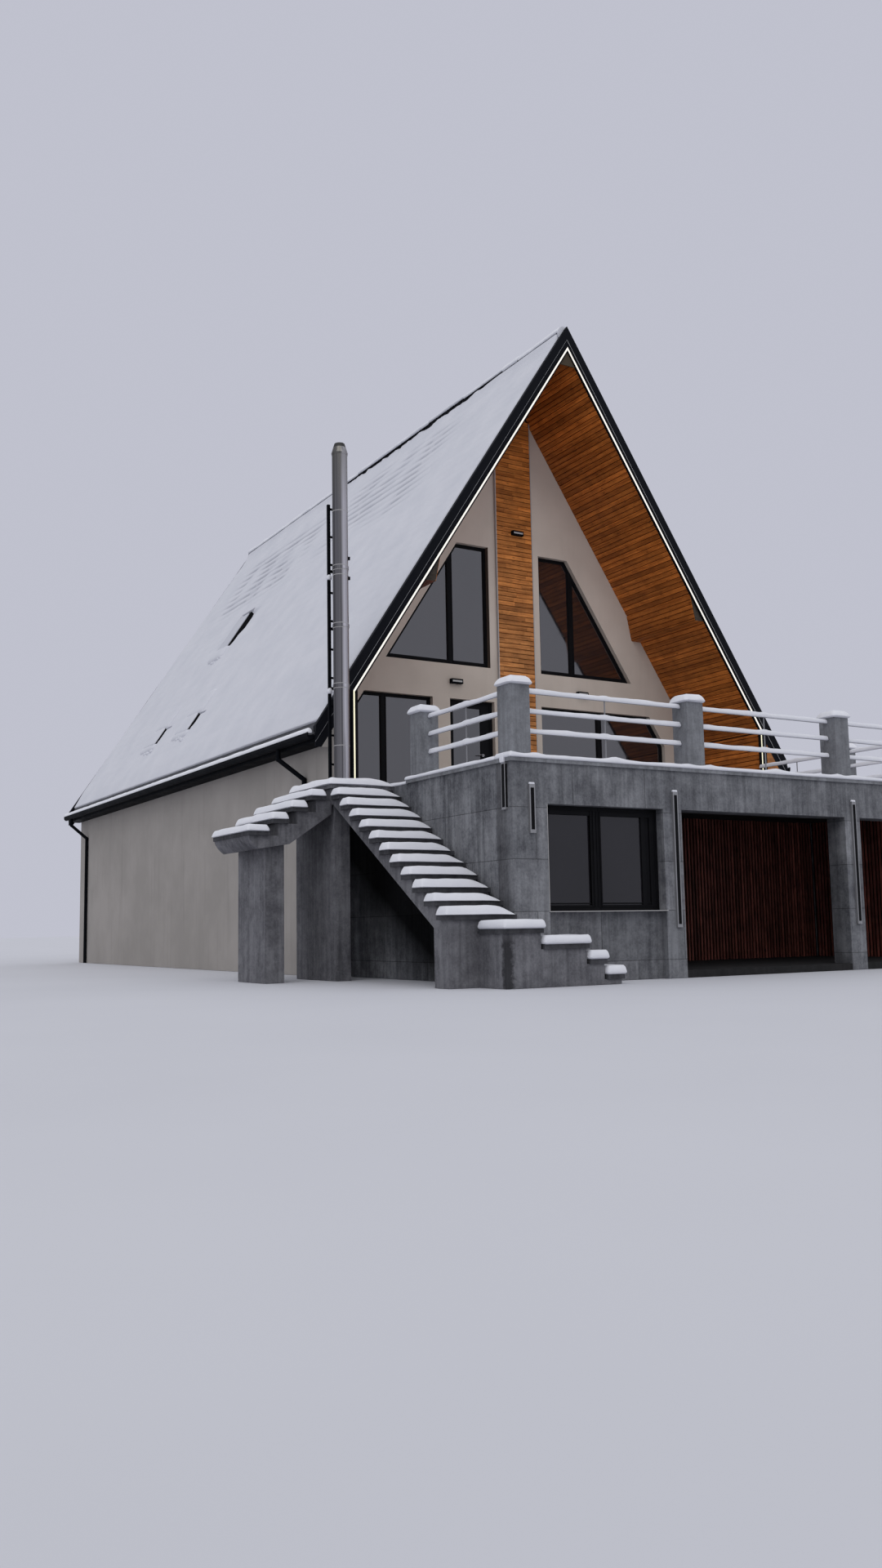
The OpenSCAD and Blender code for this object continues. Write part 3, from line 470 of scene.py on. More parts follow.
LOOKS = [
    (PAINTED_SHADE_FLOOR, "ground_slab"),
    (concrete("side_concrete", panels=True, painted_shade_under_stair=True), "terrace_side_walls"),
    (concrete("wall_concrete", panels=True, painted_bay_shade=True),
     "terrace_piers front_beam window_bay_wall room_side_wall cross_wall"),
    (concrete("floor_concrete", (0.2, 0.2, 0.205), (0.13, 0.13, 0.135), 0.1), "terrace_slab main_floor"),
    (concrete("pier_concrete", (0.225, 0.232, 0.252), (0.118, 0.121, 0.133)), "terrace_coping railing_piers"),
    (concrete("stair_concrete", (0.172, 0.171, 0.187), (0.068, 0.067, 0.077), 0.6, wet_corner=True),
     "main_flight_waist side_flight_waist lower_steps top_landing stair_supports"),
    (concrete("tread_concrete", (0.066, 0.066, 0.074), (0.026, 0.026, 0.03), 0.6), "stair_treads"),
    (BEIGE, "left_side_wall right_side_wall back_foundation_wall back_wall"),
    (render_coat("gable_render", (0.615, 0.537, 0.473), (0.555, 0.482, 0.423), 0.2, painted_low_shade=0.86),
     "front_wall_left front_wall_right front_wall_upper"),
    (BACKING, "slat_wall wood_strip porch_soffits porch_purlins cheek_linings"),
    (PINE_X, "loft_floor portal_infills"),
    (PINE_Y, "apex_collar"),
    (roof_tile("roof_tile_look"), "roof_left roof_right"),
    (paint("ridge_black", (0.005, 0.0055, 0.008), 0.7, dust=0.03, shine=0.06), "ridge_cap"),
    (paint("verge_black", (0.0035, 0.0042, 0.0068), 0.55, dust=0.05, shine=0.1),
     "verges_left verges_right"),
    (BLACK, "portal_posts eave_boxes gutters downpipes wall_lights flue_mast"),
    (FRAME_BLACK, "roof_window_frames window_frames door_frame door_leaf"),
    (window_glass("window_glass_look", (0.016, 0.013, 0.015), 2.35, 0.95), "roof_window_glass window_glass"),
    (window_glass("door_glass_look", (0.016, 0.014, 0.016), 2.3, 0.95), "door_glass"),
    (brushed_steel("plain_steel", (0.5, 0.49, 0.49)), "door_handle"),
    (FLUE_STEEL, "flue_pipe"),
    (LED, "led_profile"),
    (paint("lamp_aluminium", (0.3, 0.3, 0.31), 0.42, metal=0.6), "linear_lamps"),
    (paint("rail_paint", (0.2, 0.2, 0.215), 0.42), "railing_panels"),
]
for look, names in LOOKS:
    for name in names.split():
        mesh = NODES[name].data
        mesh.materials.clear()
        mesh.materials.append(look)
# Nodes with a second look below a limit: the lower window, the left infill and the terrace's underside, which
# gets the floor's painted shade
for node_name, look, axis, limit in (("window_glass", LOWER_GLASS, 2, 2.6), ("portal_infills", BEIGE, 0, 0),
                                     ("terrace_slab", PAINTED_SHADE_FLOOR, 2, 2.65)):
    piece = NODES[node_name]
    piece.data.materials.append(look)
    for polygon in piece.data.polygons:
        if (piece.matrix_world @ polygon.center)[axis] < limit:
            polygon.material_index = 1


# Boards
BOARD_W = 0.096
CHEEK_X, PURLIN_TOP_X, PURLIN_LOW_X = 4.66, 2.9, 3.01
STRIP_HALF, STRIP_Y = 0.424, 6.665
BOARDS_Y = PORCH_Y + 0.002


def board(shape, corner, across, out, along, width, key):
    """One board with chamfered edges: it lies from corner across its width, and faces out."""
    corner, across, out = map(Vector, (corner, across, out))
    gap, cut, thick = 0.0045, 0.006, 0.0105
    section = [(gap, 0), (gap, thick - cut), (gap + cut, thick), (width - gap - cut, thick),
               (width - gap, thick - cut), (width - gap, 0)]
    outline = [corner + across * a + out * o for a, o in section]
    shape.prism(outline, along, hashed(key, corner.x + corner.z))


def rows(total):
    """Start and width of each board over a length, the last one cut to fit."""
    count = math.ceil(total / BOARD_W - 0.15)
    return [(i * BOARD_W, min(BOARD_W, total - i * BOARD_W)) for i in range(count)]


soffit_boards = Shape("soffit_boards", PINE_Y, "pine")
cheek_boards = Shape("cheek_boards", PINE_Y, "pine")
purlin_boards = Shape("purlin_boards", PINE_Y, "pine")
undersides = Shape("purlin_undersides", PAINTED_SHADE_PURLIN_WOOD, "pine")
purlin_ends = Shape("purlin_ends", PAINTED_SHADE_END_WOOD, "brown_wood")
strip_boards = Shape("strip_boards", PINE_X, "pine")
run = (0, WALL_Y - PORCH_Y - 0.004, 0)
for side in (-1, 1):
    down = Vector((side * COS, 0, -SIN))
    inward = Vector((-side * SIN, 0, -COS))
    first = 0.15 / COS + 0.02
    last = (CHEEK_X + SOFFIT_D * SIN) / COS
    for start, width in rows(last - first):
        corner = on_roof(first + start, BOARDS_Y, -SOFFIT_D, side)
        board(soffit_boards, corner, down, inward, run, width, side)
    for start, width in rows(under(CHEEK_X, LINING_D) - FLOOR_Z):
        corner = (side * CHEEK_X, BOARDS_Y, FLOOR_Z + start)
        board(cheek_boards, corner, (0, 0, 1), (-side, 0, 0), run, width, side)
    top = Vector((side * PURLIN_TOP_X, BOARDS_Y, under(PURLIN_TOP_X, LINING_D)))
    low = Vector((side * PURLIN_LOW_X, BOARDS_Y, PURLIN_Z))
    fall = (low - top).normalized()
    face_out = Vector((fall.z * side, 0, -fall.x * side))
    for start, width in rows((low - top).length):
        board(purlin_boards, top + fall * start, fall, face_out, run, width, 3 * side)
    # Painted shade: the left purlin's underside boards take the darker pine; the right one keeps the plain
    # pine
    underside = undersides if side < 0 else purlin_boards
    purlin_x = reach(PURLIN_Z, LINING_D)
    for start, width in rows(purlin_x - PURLIN_LOW_X):
        board(underside, low + Vector((side * start, 0, 0)), (side, 0, 0), (0, 0, -1), run, width, 5 * side)
    end_face = [(top.x, top.z), (low.x, low.z), (side * purlin_x, PURLIN_Z)]
    # A thin dark plate on each purlin's end face, for painted shade
    purlin_ends.plate(end_face, PORCH_Y - 0.006, 0.008, 0.2)
for start, width in rows(under(0.15, SOFFIT_D) - FLOOR_Z):
    z = FLOOR_Z + start
    half = min(STRIP_HALF, reach(z + width, LINING_D) - 0.002)
    joint = half * (2 * hashed(start, 7) - 1) * 0.8
    for x0, x1 in ((-half, joint - 0.0015), (joint + 0.0015, half)):
        board(strip_boards, (x0, STRIP_Y, z), (0, 0, 1), (0, -1, 0), (x1 - x0, 0, 0), width, 9 + x1)


# Trims of the wood strip and the portal
def raked_bar(shape, side, x0, x1, d, y, deep):
    """An upright bar from the floor up to a line a depth d under the roof."""
    outline = [(x0, FLOOR_Z), (x1, FLOOR_Z), (x1, under(x1, d)), (x0, under(x0, d))]
    shape.plate([(side * x, z) for x, z in outline], y, deep)


strip_trims = Shape("strip_edge_trims", PALE_FACE, "white_render")
portal_trims = Shape("portal_inner_trims", SLOT_BLACK, "black_metal")
apex_plate = Shape("apex_plate", APEX_PLATE, "brown_wood")
for side, inner_x in ((-1, 4.568), (1, 4.592)):
    raked_bar(strip_trims, side, 0.4245, 0.443, LINING_D + 0.002, 6.648, 0.0568)
    raked_bar(portal_trims, side, 4.6275, inner_x, 0.226, 4.704, 0.036)
plate_z, plate_d = 11.385, 0.212
half = reach(plate_z, plate_d)
apex_plate.plate([(-half, plate_z), (half, plate_z), (0, under(0, plate_d))], 4.717, 0.02)


# Light strip: a glowing diffuser set in a dark carrier, along the slopes and down the posts
def swept(shape, stations, profile):
    """A closed bar through stations, each an outer and an inner point (x, z), with a profile of
    (share of the way from outer to inner, y)."""
    n = len(profile)
    verts = []
    for (ox, oz), (ix, iz) in stations:
        verts += [(ox + (ix - ox) * a, y, oz + (iz - oz) * a) for a, y in profile]
    faces = [tuple(range(n))[::-1], tuple(range(len(verts) - n, len(verts)))]
    for k in range(0, len(verts) - n, n):
        faces += [(k + i, k + (i + 1) % n, k + n + (i + 1) % n, k + n + i) for i in range(n)]
    shape.add(verts, faces)


led_low, led_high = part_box("led_profile")
near, far = led_low.y, led_high.y
carrier = Shape("light_strip_carrier", BLACK, "black_metal")
slope_glow = Shape("light_strip_slopes", LED, "light_strip")
post_glow = Shape("light_strip_posts", LED_LOW, "light_strip")
flat = [(0, far), (0, near + 0.003), (0.06, near), (0.94, near), (1, near + 0.003), (1, far)]
domed = [(0, far - 0.004), (0, near), (0.15, near - 0.004), (0.5, near - 0.006), (0.85, near - 0.004),
         (1, near), (1, far - 0.004)]


def strip_stations(side, d_out, d_in, x_out, x_in):
    """Mitred stations at the apex, the bend and the foot."""
    apex = [(0, under(0, d_out)), (0, under(0, d_in))]
    bend = [(side * x_out, under(x_out, d_out)), (side * x_in, under(x_in, d_in))]
    foot = [(side * x_out, FLOOR_Z), (side * x_in, FLOOR_Z)]
    return apex, bend, foot


for side in (-1, 1):
    swept(carrier, strip_stations(side, 0.165, 0.224, 4.6855, 4.6135), flat)
    apex, bend, foot = strip_stations(side, 0.168, 0.1995 if side < 0 else 0.206, 4.653, 4.625)
    swept(slope_glow, [apex, bend], domed)
    swept(post_glow, [bend, foot], domed)

# Slats in front of the bays' back and side walls
SLAT_PITCH, SLAT_W, SLAT_DEEP, SLAT_BEVEL = 0.075, 0.037, 0.028, 0.003
slats = Shape("wall_slats", SLAT, "brown_wood")
side_slats = Shape("side_wall_slats", SLAT, "brown_wood")
side_backing = Shape("side_slat_backing", BACKING, "brown_wood")
slat_low, slat_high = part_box("slat_wall")
slat_y, slat_z0, slat_z1 = slat_low.y, slat_low.z, slat_high.z
for i in range(int((slat_high.x - slat_low.x) / SLAT_PITCH)):
    x = slat_low.x + 0.012 + i * SLAT_PITCH
    slats.box((x, slat_y - SLAT_DEEP, slat_z0), (x + SLAT_W, slat_y, slat_z1), hashed(i, 2), SLAT_BEVEL)
side_face = SIDE_WALL_X - 0.006
side_backing.box((side_face, 0.42, slat_z0), (SIDE_WALL_X, slat_y - 0.03, slat_z1))
for i in range(int((slat_y - 0.47) / SLAT_PITCH)):
    low = (side_face - SLAT_DEEP, 0.43 + i * SLAT_PITCH, slat_z0)
    side_slats.box(low, (side_face, low[1] + SLAT_W, slat_z1), hashed(i, 12), SLAT_BEVEL)


# Beads round the panes
def clip(points, axis, limit, keep_low):
    """A convex outline cut at a level line, keeping one side."""
    def inside(point):
        return (point[axis] <= limit) == keep_low

    made = []
    for a, b in zip(points, points[1:] + points[:1]):
        if inside(a):
            made.append(a)
        if inside(a) != inside(b):
            t = (limit - a[axis]) / (b[axis] - a[axis])
            made.append(tuple(a[k] + t * (b[k] - a[k]) for k in range(2)))
    return made


def inset(points, d):
    """A convex outline drawn in by d."""
    area = sum(a[0] * b[1] - b[0] * a[1] for a, b in zip(points, points[1:] + points[:1]))
    turn = 1 if area > 0 else -1
    lines = []
    for a, b in zip(points, points[1:] + points[:1]):
        dx, dz = b[0] - a[0], b[1] - a[1]
        size = math.hypot(dx, dz)
        n = (-dz / size * turn, dx / size * turn)
        lines.append((n, n[0] * a[0] + n[1] * a[1] + d))
    made = []
    for (n, c), (m, e) in zip(lines[-1:] + lines[:-1], lines):
        det = n[0] * m[1] - n[1] * m[0]
        made.append(((c * m[1] - e * n[1]) / det, (n[0] * e - m[0] * c) / det))
    return made


def ring(shape, pane, out, width, y, deep):
    """A mitred ring of bars round a pane, its outer edge a little way out from it."""
    points = inset(pane, -out)
    inner = inset(points, width)
    for i in range(len(points)):
        j = (i + 1) % len(points)
        shape.plate([points[i], points[j], inner[j], inner[i]], y, deep)


# Openings of the gables' floor windows and loft windows, and the frame's width in them
WINDOW_X, KNEE_Z, HEAD_Z = 3.816, 4.53, 5.145
LOFT_X0, LOFT_X1, LOFT_Z0, LOFT_Z1 = 0.613, 2.952, 5.82, 8.275
FRAME_W, MULLION_HALF = 0.06, 0.06
SLANT_D = FRAME_W / SIN


def floor_window(x):
    """The glass line of a floor window that begins at x and follows the roof."""
    d = FRAME_W
    return [(x + d, FLOOR_Z + d), (WINDOW_X - d, FLOOR_Z + d), (WINDOW_X - d, KNEE_Z - (SLANT_D - d) * SLOPE),
            (WINDOW_X - (HEAD_Z - d - KNEE_Z) / SLOPE - SLANT_D, HEAD_Z - d), (x + d, HEAD_Z - d)]


def loft_window():
    d = FRAME_W
    return [(LOFT_X0 + d, LOFT_Z0 + d), (LOFT_X1 - d / SLOPE - SLANT_D, LOFT_Z0 + d),
            (LOFT_X1 - (LOFT_Z1 - d - LOFT_Z0) / SLOPE - SLANT_D, LOFT_Z1 - d), (LOFT_X0 + d, LOFT_Z1 - d)]


def panes(outline, mullion, half=MULLION_HALF):
    """The two panes beside a mullion."""
    return [clip(outline, 0, mullion - half, True), clip(outline, 0, mullion + half, False)]


def mirrored(points):
    return [(-x, z) for x, z in points][::-1]


beads = Shape("glazing_beads", FRAME_BLACK, "black_metal")
BEAD_OUT, BEAD_W = 0.012, 0.0118
front_y, back_y = WALL_Y + 0.095, 20.4 - 0.095
loft_pair = [(loft_window(), 1.47), (mirrored(loft_window()), -1.47)]
left_window = (mirrored(floor_window(1.944)), -2.972)
for outline, mullion in [left_window, (floor_window(0.6), 2.118)] + loft_pair:
    for pane in panes(outline, mullion):
        ring(beads, pane, BEAD_OUT, BEAD_W, front_y - 0.006, 0.008)
        ring(beads, pane, 0.036, 0.008, front_y - 0.003, 0.005)
        if min(z for x, z in pane) > LOFT_Z0:
            beads.plate(clip(pane, 1, 5.916, True), front_y - 0.008, 0.01)
for outline, mullion in [(floor_window(1.944), 2.972), left_window] + loft_pair:
    for pane in panes(outline, mullion):
        ring(beads, pane, BEAD_OUT, BEAD_W, back_y - 0.002, 0.008)
LOWER_X0, LOWER_X1, LOWER_Z0, LOWER_Z1 = -4.12, -2.244, 1, 2.295
lower = [(LOWER_X0, LOWER_Z0), (LOWER_X1, LOWER_Z0), (LOWER_X1, LOWER_Z1), (LOWER_X0, LOWER_Z1)]
for pane in panes(lower, -3.28, 0.09):
    ring(beads, pane, BEAD_OUT, BEAD_W, 0.143, 0.009)
    ring(beads, pane, 0.038, 0.009, 0.146, 0.006)

# Sliding sashes of the lower window
SASH_BACK, SASH_BEVEL = 0.172, 0.003
sashes = Shape("lower_window_sashes", FRAME_BLACK, "black_metal")
for x0, x1, y in ((-3.37, -3.352, 0.139), (-3.322, -3.3, 0.136), (-3.262, -3.246, 0.139),
                  (-3.208, -3.19, 0.136), (-2.47, -2.395, 0.15), (-2.385, -2.33, 0.165),
                  (-2.322, LOWER_X1, 0.146)):
    sashes.box((x0, y, LOWER_Z0), (x1, SASH_BACK, LOWER_Z1), bevel=SASH_BEVEL)
# The first row, the top rail, is deeper than the frame: partly the frame, partly painted shade under the beam
for z0, z1, y in ((2.235, LOWER_Z1, 0.147), (LOWER_Z0, 1.022, 0.147), (1.034, 1.052, 0.156)):
    sashes.box((LOWER_X0, y, z0), (LOWER_X1, SASH_BACK, z1), bevel=SASH_BEVEL)


# Snow
def levels(length, edge, step):
    """Places along a side: close together near both ends, then about a step apart."""
    edge = min(edge, length / 2.2)
    near = [0, 0.12 * edge, 0.32 * edge, 0.62 * edge, edge]
    span = length - 2 * edge
    count = max(1, round(span / step))
    middle = [edge + span * i / count for i in range(1, count)]
    return near + middle + [length - n for n in near[::-1]]


def closed_sheet(shape, top, low, nx, tones):
    """A closed skin of a top and a lower grid of points, in rows of nx, which share the top's rim."""
    n = len(top)
    ny = n // nx
    faces = []
    for first in (j * nx + i for j in range(ny - 1) for i in range(nx - 1)):
        quad = [first, first + 1, first + nx + 1, first + nx]
        faces.append(quad)
        faces.append([q if q % nx in (0, nx - 1) or q // nx in (0, ny - 1) else n + q for q in quad][::-1])
    used = sorted({i for f in faces for i in f})
    order = {old: new for new, old in enumerate(used)}
    verts = top + low
    shape.add([verts[i] for i in used], [[order[i] for i in f] for f in faces], [tones[i] for i in used])


def snow_layer(name):
    return Shape(name, SNOW, "snow", smooth=60)


def pillow(shape, low, high, z, thick, edge, key, over=(0, 0, 0, 0), step=0.08, rough=0.012, place=None,
           sag=0, lift=0.38, thin=None, lumps=(), bow=2, fresh=0.8):
    """A layer of snow on a rectangle, rounded over its edge. over is how far it stands out at low x, high x,
    low y, high y; thin is (length, share) of a wedge at the high x end, lumps are (x, height, spread), and
    bow shapes its sides, from 1 for a straight slope to 2 for a round one."""
    x0, y0 = low[0] - over[0], low[1] - over[2]
    x1, y1 = high[0] + over[1], high[1] + over[3]
    wide, long = x1 - x0, y1 - y0
    under_edge = max(0.004, 1.1 * max(over))
    xs, ys = levels(wide, edge, step), levels(long, edge, step)
    rim = lift * thick
    tops, bottoms = [], []
    for b in ys:
        for a in xs:
            dx, dy = min(a, wide - a), min(b, long - b)
            ex, ey = max(0, edge - dx), max(0, edge - dy)
            e = math.hypot(ex, ey)
            x, y = x0 + a, y0 + b
            if e > edge:
                k = edge / e
                x += math.copysign(ex * (1 - k), wide / 2 - a)
                y += math.copysign(ey * (1 - k), long / 2 - b)
                e = edge
            q = max(0, 1 - (e / edge) ** bow) ** (1 / bow)
            d = edge - e if e > 0 else min(dx, dy)
            qb = math.sqrt(max(0, 1 - (1 - min(d / under_edge, 1)) ** 2))
            jitter = rough * (wave(x, y, key, 0.45) + 0.5 * wave(x, y, key + 5, 0.16))
            jitter += sum(h * math.exp(-((x - at) / spread) ** 2) for at, h, spread in lumps)
            full = thick
            if thin and x1 - x < thin[0]:
                full *= thin[1] + (1 - thin[1]) * math.sin(max(0, (x1 - x) / thin[0]) * math.pi / 2)
            edge_jitter = 0.5 * rough * wave(x, y, key + 9, 0.3) * (1 - q)
            x += math.copysign(edge_jitter, a - wide / 2) * (ex > 0)
            y += math.copysign(edge_jitter, b - long / 2) * (ey > 0)
            droop = sag * (1 - q) * (0.6 + 0.6 * wave(x, y, key + 3, 0.5))
            lip = rim * full / thick
            tops.append((x, y, z + lip + (full - lip) * q + jitter * q - droop))
            bottoms.append((x, y, z + lip * (1 - qb) - droop * (1 - qb)))
    if place:
        tops, bottoms = ([place(*v) for v in points] for points in (tops, bottoms))
    closed_sheet(shape, tops, bottoms, len(xs), [fresh] * 2 * len(tops))


# Stairs
LANDING_Y, LANDING_BACK, RUN, RISER = 3.25, 4.69, 0.3, 2.9 / 16
STAIR_X0 = -5.79
tread_snow = snow_layer("tread_snow")
for i in range(1, 12):
    y = LANDING_Y - i * RUN
    x1 = -4.74 - (0.02 + 0.05 * hashed(i, 4))
    pillow(tread_snow, (STAIR_X0, y), (x1, y + RUN - 0.055), FLOOR_Z - i * RISER,
           0.104 + 0.016 * hashed(i, 1), 0.045, i * 1.7, (0.028, 0, 0.036, 0), 0.06, rough=0.014, sag=0.008,
           lift=0.1, thin=(0.34, 0.12), bow=1.35)
for i in range(1, 5):
    x0 = STAIR_X0 - i * RUN - (0.08 if i == 4 else 0)
    x1 = STAIR_X0 - (i - 1) * RUN - 0.052
    pillow(tread_snow, (x0, LANDING_Y), (x1, LANDING_BACK), FLOOR_Z - i * RISER,
           0.1 + 0.014 * hashed(i, 6), 0.05, 20 + i * 1.3, (0.034, 0, 0.03, 0.01), sag=0.008, lift=0.12,
           bow=1.4)

lower_snow = snow_layer("lower_step_snow")
lower_xs = [-5.305, -4.788, -4.086, -3.811, -3.536]
for i, (x0, x1) in enumerate(zip(lower_xs, lower_xs[1:])):
    low_x, high_y = (x0 - 0.03, -0.06) if i == 0 else (x0 + 0.045, -0.006)
    pillow(lower_snow, (low_x, -0.66), (x1 + 0.03, high_y), 0.725 - 0.2 * i, 0.112, 0.042, 40 + i * 2.1,
           (0.03, 0.028, 0.032, 0), 0.07, rough=0.01, sag=0.006, lift=0.25, bow=1.7)

pillow(snow_layer("landing_snow"), (STAIR_X0, 3.2), (-4.745, LANDING_BACK), FLOOR_Z, 0.112, 0.06, 50,
       (0.034, 0, 0.034, 0.01), rough=0.022, sag=0.01, lift=0.15, thin=(0.35, 0.45), bow=1.4)

# Terrace snow
COPING_Z, TERRACE_X = 2.95, 4.74
POST_W, POST_H, INSET, REAR_POST_Y = 0.31, 1.04, 0.035, 2.41
first = INSET - TERRACE_X
post_xs = [first, first + 3.075, first + 6.15, -first - POST_W]
coping_lumps = [(x + k, 0.022, 0.1) for x in post_xs for k in (-0.05, POST_W + 0.05)]
coping_lumps += [((a + POST_W + b) / 2, 0.034, 0.14) for a, b in zip(post_xs, post_xs[1:])]
coping_snow = snow_layer("coping_snow")
pillow(coping_snow, (-4.77, -0.03), (4.77, 0.35), COPING_Z, 0.058, 0.04, 60, (0.014, 0.014, 0.018, 0), 0.07,
       sag=0.012, lumps=coping_lumps)
for key, low, high, z, thick, over, rough in (
        (61, (-4.77, 0.353), (-4.38, 2.79), COPING_Z, 0.056, (0.014, 0, 0, 0.012), 0.01),
        (62, (4.38, 0.353), (4.77, 4.67), COPING_Z, 0.056, (0, 0.014, 0, 0), 0.01),
        (63, (-4.742, 2.8), (-4.36, 4.67), FLOOR_Z, 0.062, (0.01, 0, 0, 0), 0.014)):
    pillow(coping_snow, low, high, z, thick, 0.04, key, over, rough=rough, sag=0.01)
pillow(snow_layer("terrace_snow"), (-4.35, 0.36), (4.37, 4.25), FLOOR_Z, 0.045, 0.3, 64, (0, 0, 0, 0.25),
       0.16, rough=0.02, lift=0.05)

post_places = [(x, INSET) for x in post_xs] + [(first, REAR_POST_Y), (-first - POST_W, REAR_POST_Y)]
cap_snow = snow_layer("pier_snow")
for i, (x, y) in enumerate(post_places):
    pillow(cap_snow, (x, y), (x + POST_W, y + POST_W), FLOOR_Z + POST_H, 0.116 + 0.012 * hashed(i, 3), 0.085,
           70 + i * 1.9, (0.052,) * 4, sag=0.022, lift=0.3, bow=1.45)


def along_rail(a, b, c, start, ahead, beside):
    return start + ahead * a + beside * b + Vector((0, 0, c))


rail_snow = snow_layer("rail_snow")
rail_y = INSET + POST_W / 2
rail_x = TERRACE_X - rail_y
rail_spans = [((a + POST_W, rail_y), (b, rail_y)) for a, b in zip(post_xs, post_xs[1:])]
rail_spans += [((x, INSET + POST_W), (x, REAR_POST_Y)) for x in (-rail_x, rail_x)]
rail_spans.append(((rail_x, REAR_POST_Y + POST_W), (rail_x, LANDING_BACK)))
for i, ends in enumerate(rail_spans):
    start, end = (Vector((*point, 0)) for point in ends)
    length = (end - start).length
    ahead = (end - start) / length
    lay = partial(along_rail, start=start, ahead=ahead, beside=Vector((-ahead.y, ahead.x, 0)))
    for k, height in enumerate((0.425, 0.695, 0.965)):
        pillow(rail_snow, (0, -0.024), (length, 0.024), FLOOR_Z + height - 0.01, 0.07, 0.027,
               80 + 7 * i + k * 2.3, (0, 0, 0.008, 0.008), 0.07, place=lay, sag=0.006, lift=0.3,
               lumps=[(length / 2, 0.022, 0.045)])

# Roof snow
COURSE = 0.262
SNOW_Y0, SNOW_Y1 = PORCH_Y + 0.062, ROOF_END_Y - 0.062
SNOW_END = SLOPE_LEN - 0.3
SHEET_BACK = -0.03


def within(v, low, high, soft):
    """1 inside a stretch, falling softly to 0 outside it."""
    k = max(0, min(1, (v - low) / soft + 0.5, (high - v) / soft + 0.5))
    return k * k * (3 - 2 * k)


def melt(s, y):
    """How much of the snow stays beside the roof windows, from -0.3, bare tiles, to 1."""
    stay = 1
    for k, (wy, ws, _) in enumerate(ROOF_WINDOWS):
        first, last, wide, narrow = (0.66, 1.14, 0.18, 0.07) if k else (0, 1.12, 0.7, 0.22)
        along = (s - ws - first) / (last - first)
        if -0.08 < along < 1.08 and y < wy + 0.04:
            ends = within(along, 0, 1, 0.1)
            length = wide + (narrow - wide) * max(0, along)
            length *= 1 + 0.4 * wave(s, 0, 31 + k, 0.22)
            stay = min(stay, 1 - ends * (1 - max(-0.05, (wy - y - 0.02) / length)))
        if k:
            if abs(s - ws - first) < 0.035 and -0.02 < wy - y < 0.46:
                stay = min(stay, 0.05)
            continue
        if -0.06 < y - wy - ROOF_WINDOW_W < 0.1 and -0.05 < s - ws < 1.1:
            stay = min(stay, 0.25)
        if -0.14 < s - ws < 0.04 and -0.02 < y - wy < ROOF_WINDOW_W + 0.04:
            stay = min(stay, 0.15)
    return stay


def roof_cover(s, y, side):
    """Thickness and tone of the snow at a place on the roof: the tile courses show through in patches, with
    painted shade on the step below each course.
    """
    t = 0.086 + 0.016 * wave(s, y, 3 + side, 2.6) + 0.003 * wave(s, y, 7 + side, 0.6)
    patch = max(0.85 * within(y, 7.9, 12.2, 1.4) * within(s, 0.8, 3.2, 0.7),
                within(y, 13.7, 18.6, 1.2) * within(s, 1.3, 3.3, 0.6))
    patch *= max(0, min(1, 0.72 + 1.5 * wave(s, y, 21 + side, 0.9)))
    phase = (s / COURSE + 0.07 * wave(s, y, 25 + side, 0.8)) % 1
    rise = phase / 0.93 if phase < 0.93 else (1 - phase) / 0.07
    t += (rise - 1) * (0.003 + 0.032 * patch)
    # Painted shade: the tone drops on each course's step face, for the shadow line under it
    tone = 0.5 - 0.5 * patch * max(0, 1 - abs(phase - 0.02) / 0.12)
    bare = within(y, 7.5, 13.8, 1.6)
    ragged = 0.006 + 0.04 * wave(0, y, 33, 0.5) + 0.03 * wave(0, y, 35, 0.2)
    crest = 0.036 * (1 - bare) + bare * ragged
    t += crest * math.exp(-(max(0, s - 0.105) / 0.14) ** 2) - 0.012 * math.exp(-((s - 0.6) / 0.3) ** 2)
    t *= 0.45 + 0.55 * min(1, (SNOW_END - s) / 0.5)
    t *= melt(s, y)
    for gap, radius in ((min(y - SNOW_Y0, SNOW_Y1 - y), 0.055), (SNOW_END - s, 0.022)):
        if gap < radius:
            t *= math.sqrt(max(0, 1 - (1 - gap / radius) ** 2))
    return t, tone


def roof_snow(name, side):
    """The snow on one slope, in a grid that is closer at the courses, the rims and the roof windows."""
    rim = (0, 0.006, 0.018, 0.036, 0.06)
    ss = [0.1, 0.105, 0.13, 0.17, 0.21] + [SNOW_END - k for k in (0.05, 0.022, 0.012, 0.004, 0)]
    ss += [(k + phase) * COURSE for k in range(38) for phase in (0.02, 0.12, 0.5, 0.9)
           if 0.24 < (k + phase) * COURSE < SNOW_END - 0.07]
    count = 150
    ys = [SNOW_Y0 + k for k in rim] + [SNOW_Y1 - k for k in rim]
    ys += [SNOW_Y0 + rim[-1] + (SNOW_Y1 - SNOW_Y0 - 2 * rim[-1]) * i / count for i in range(1, count)]
    for wy, ws, _ in ROOF_WINDOWS:
        ss += [ws + k for k in (-0.15, -0.13, -0.03, 0.03, 0.625, 0.64, 0.68, 0.695, 1.03, 1.14, 1.18)]
        ys += [wy + k for k in (-0.5, -0.46, -0.4, -0.3, -0.2, -0.12, -0.05, -0.02, 0.03, 0.06)]
        ys += [wy + ROOF_WINDOW_W + k for k in (-0.08, -0.05, 0.01, 0.09, 0.12)]
    ss = sorted({round(s, 3) for s in ss})
    ys = sorted({round(y, 3) for y in ys})
    top, low, tones = [], [], []
    for y in ys:
        for s in ss:
            t, tone = roof_cover(s, y, side)
            at_rim = s in (ss[0], ss[-1]) or y in (ys[0], ys[-1])
            top.append(on_roof(s, y, SHEET_BACK if at_rim else t, side))
            low.append(on_roof(s, y, SHEET_BACK, side))
            tones.append(tone)
    closed_sheet(snow_layer(name), top, low, len(ss), tones + [0.5] * len(tones))


roof_snow("roof_snow_left", -1)
roof_snow("roof_snow_right", 1)

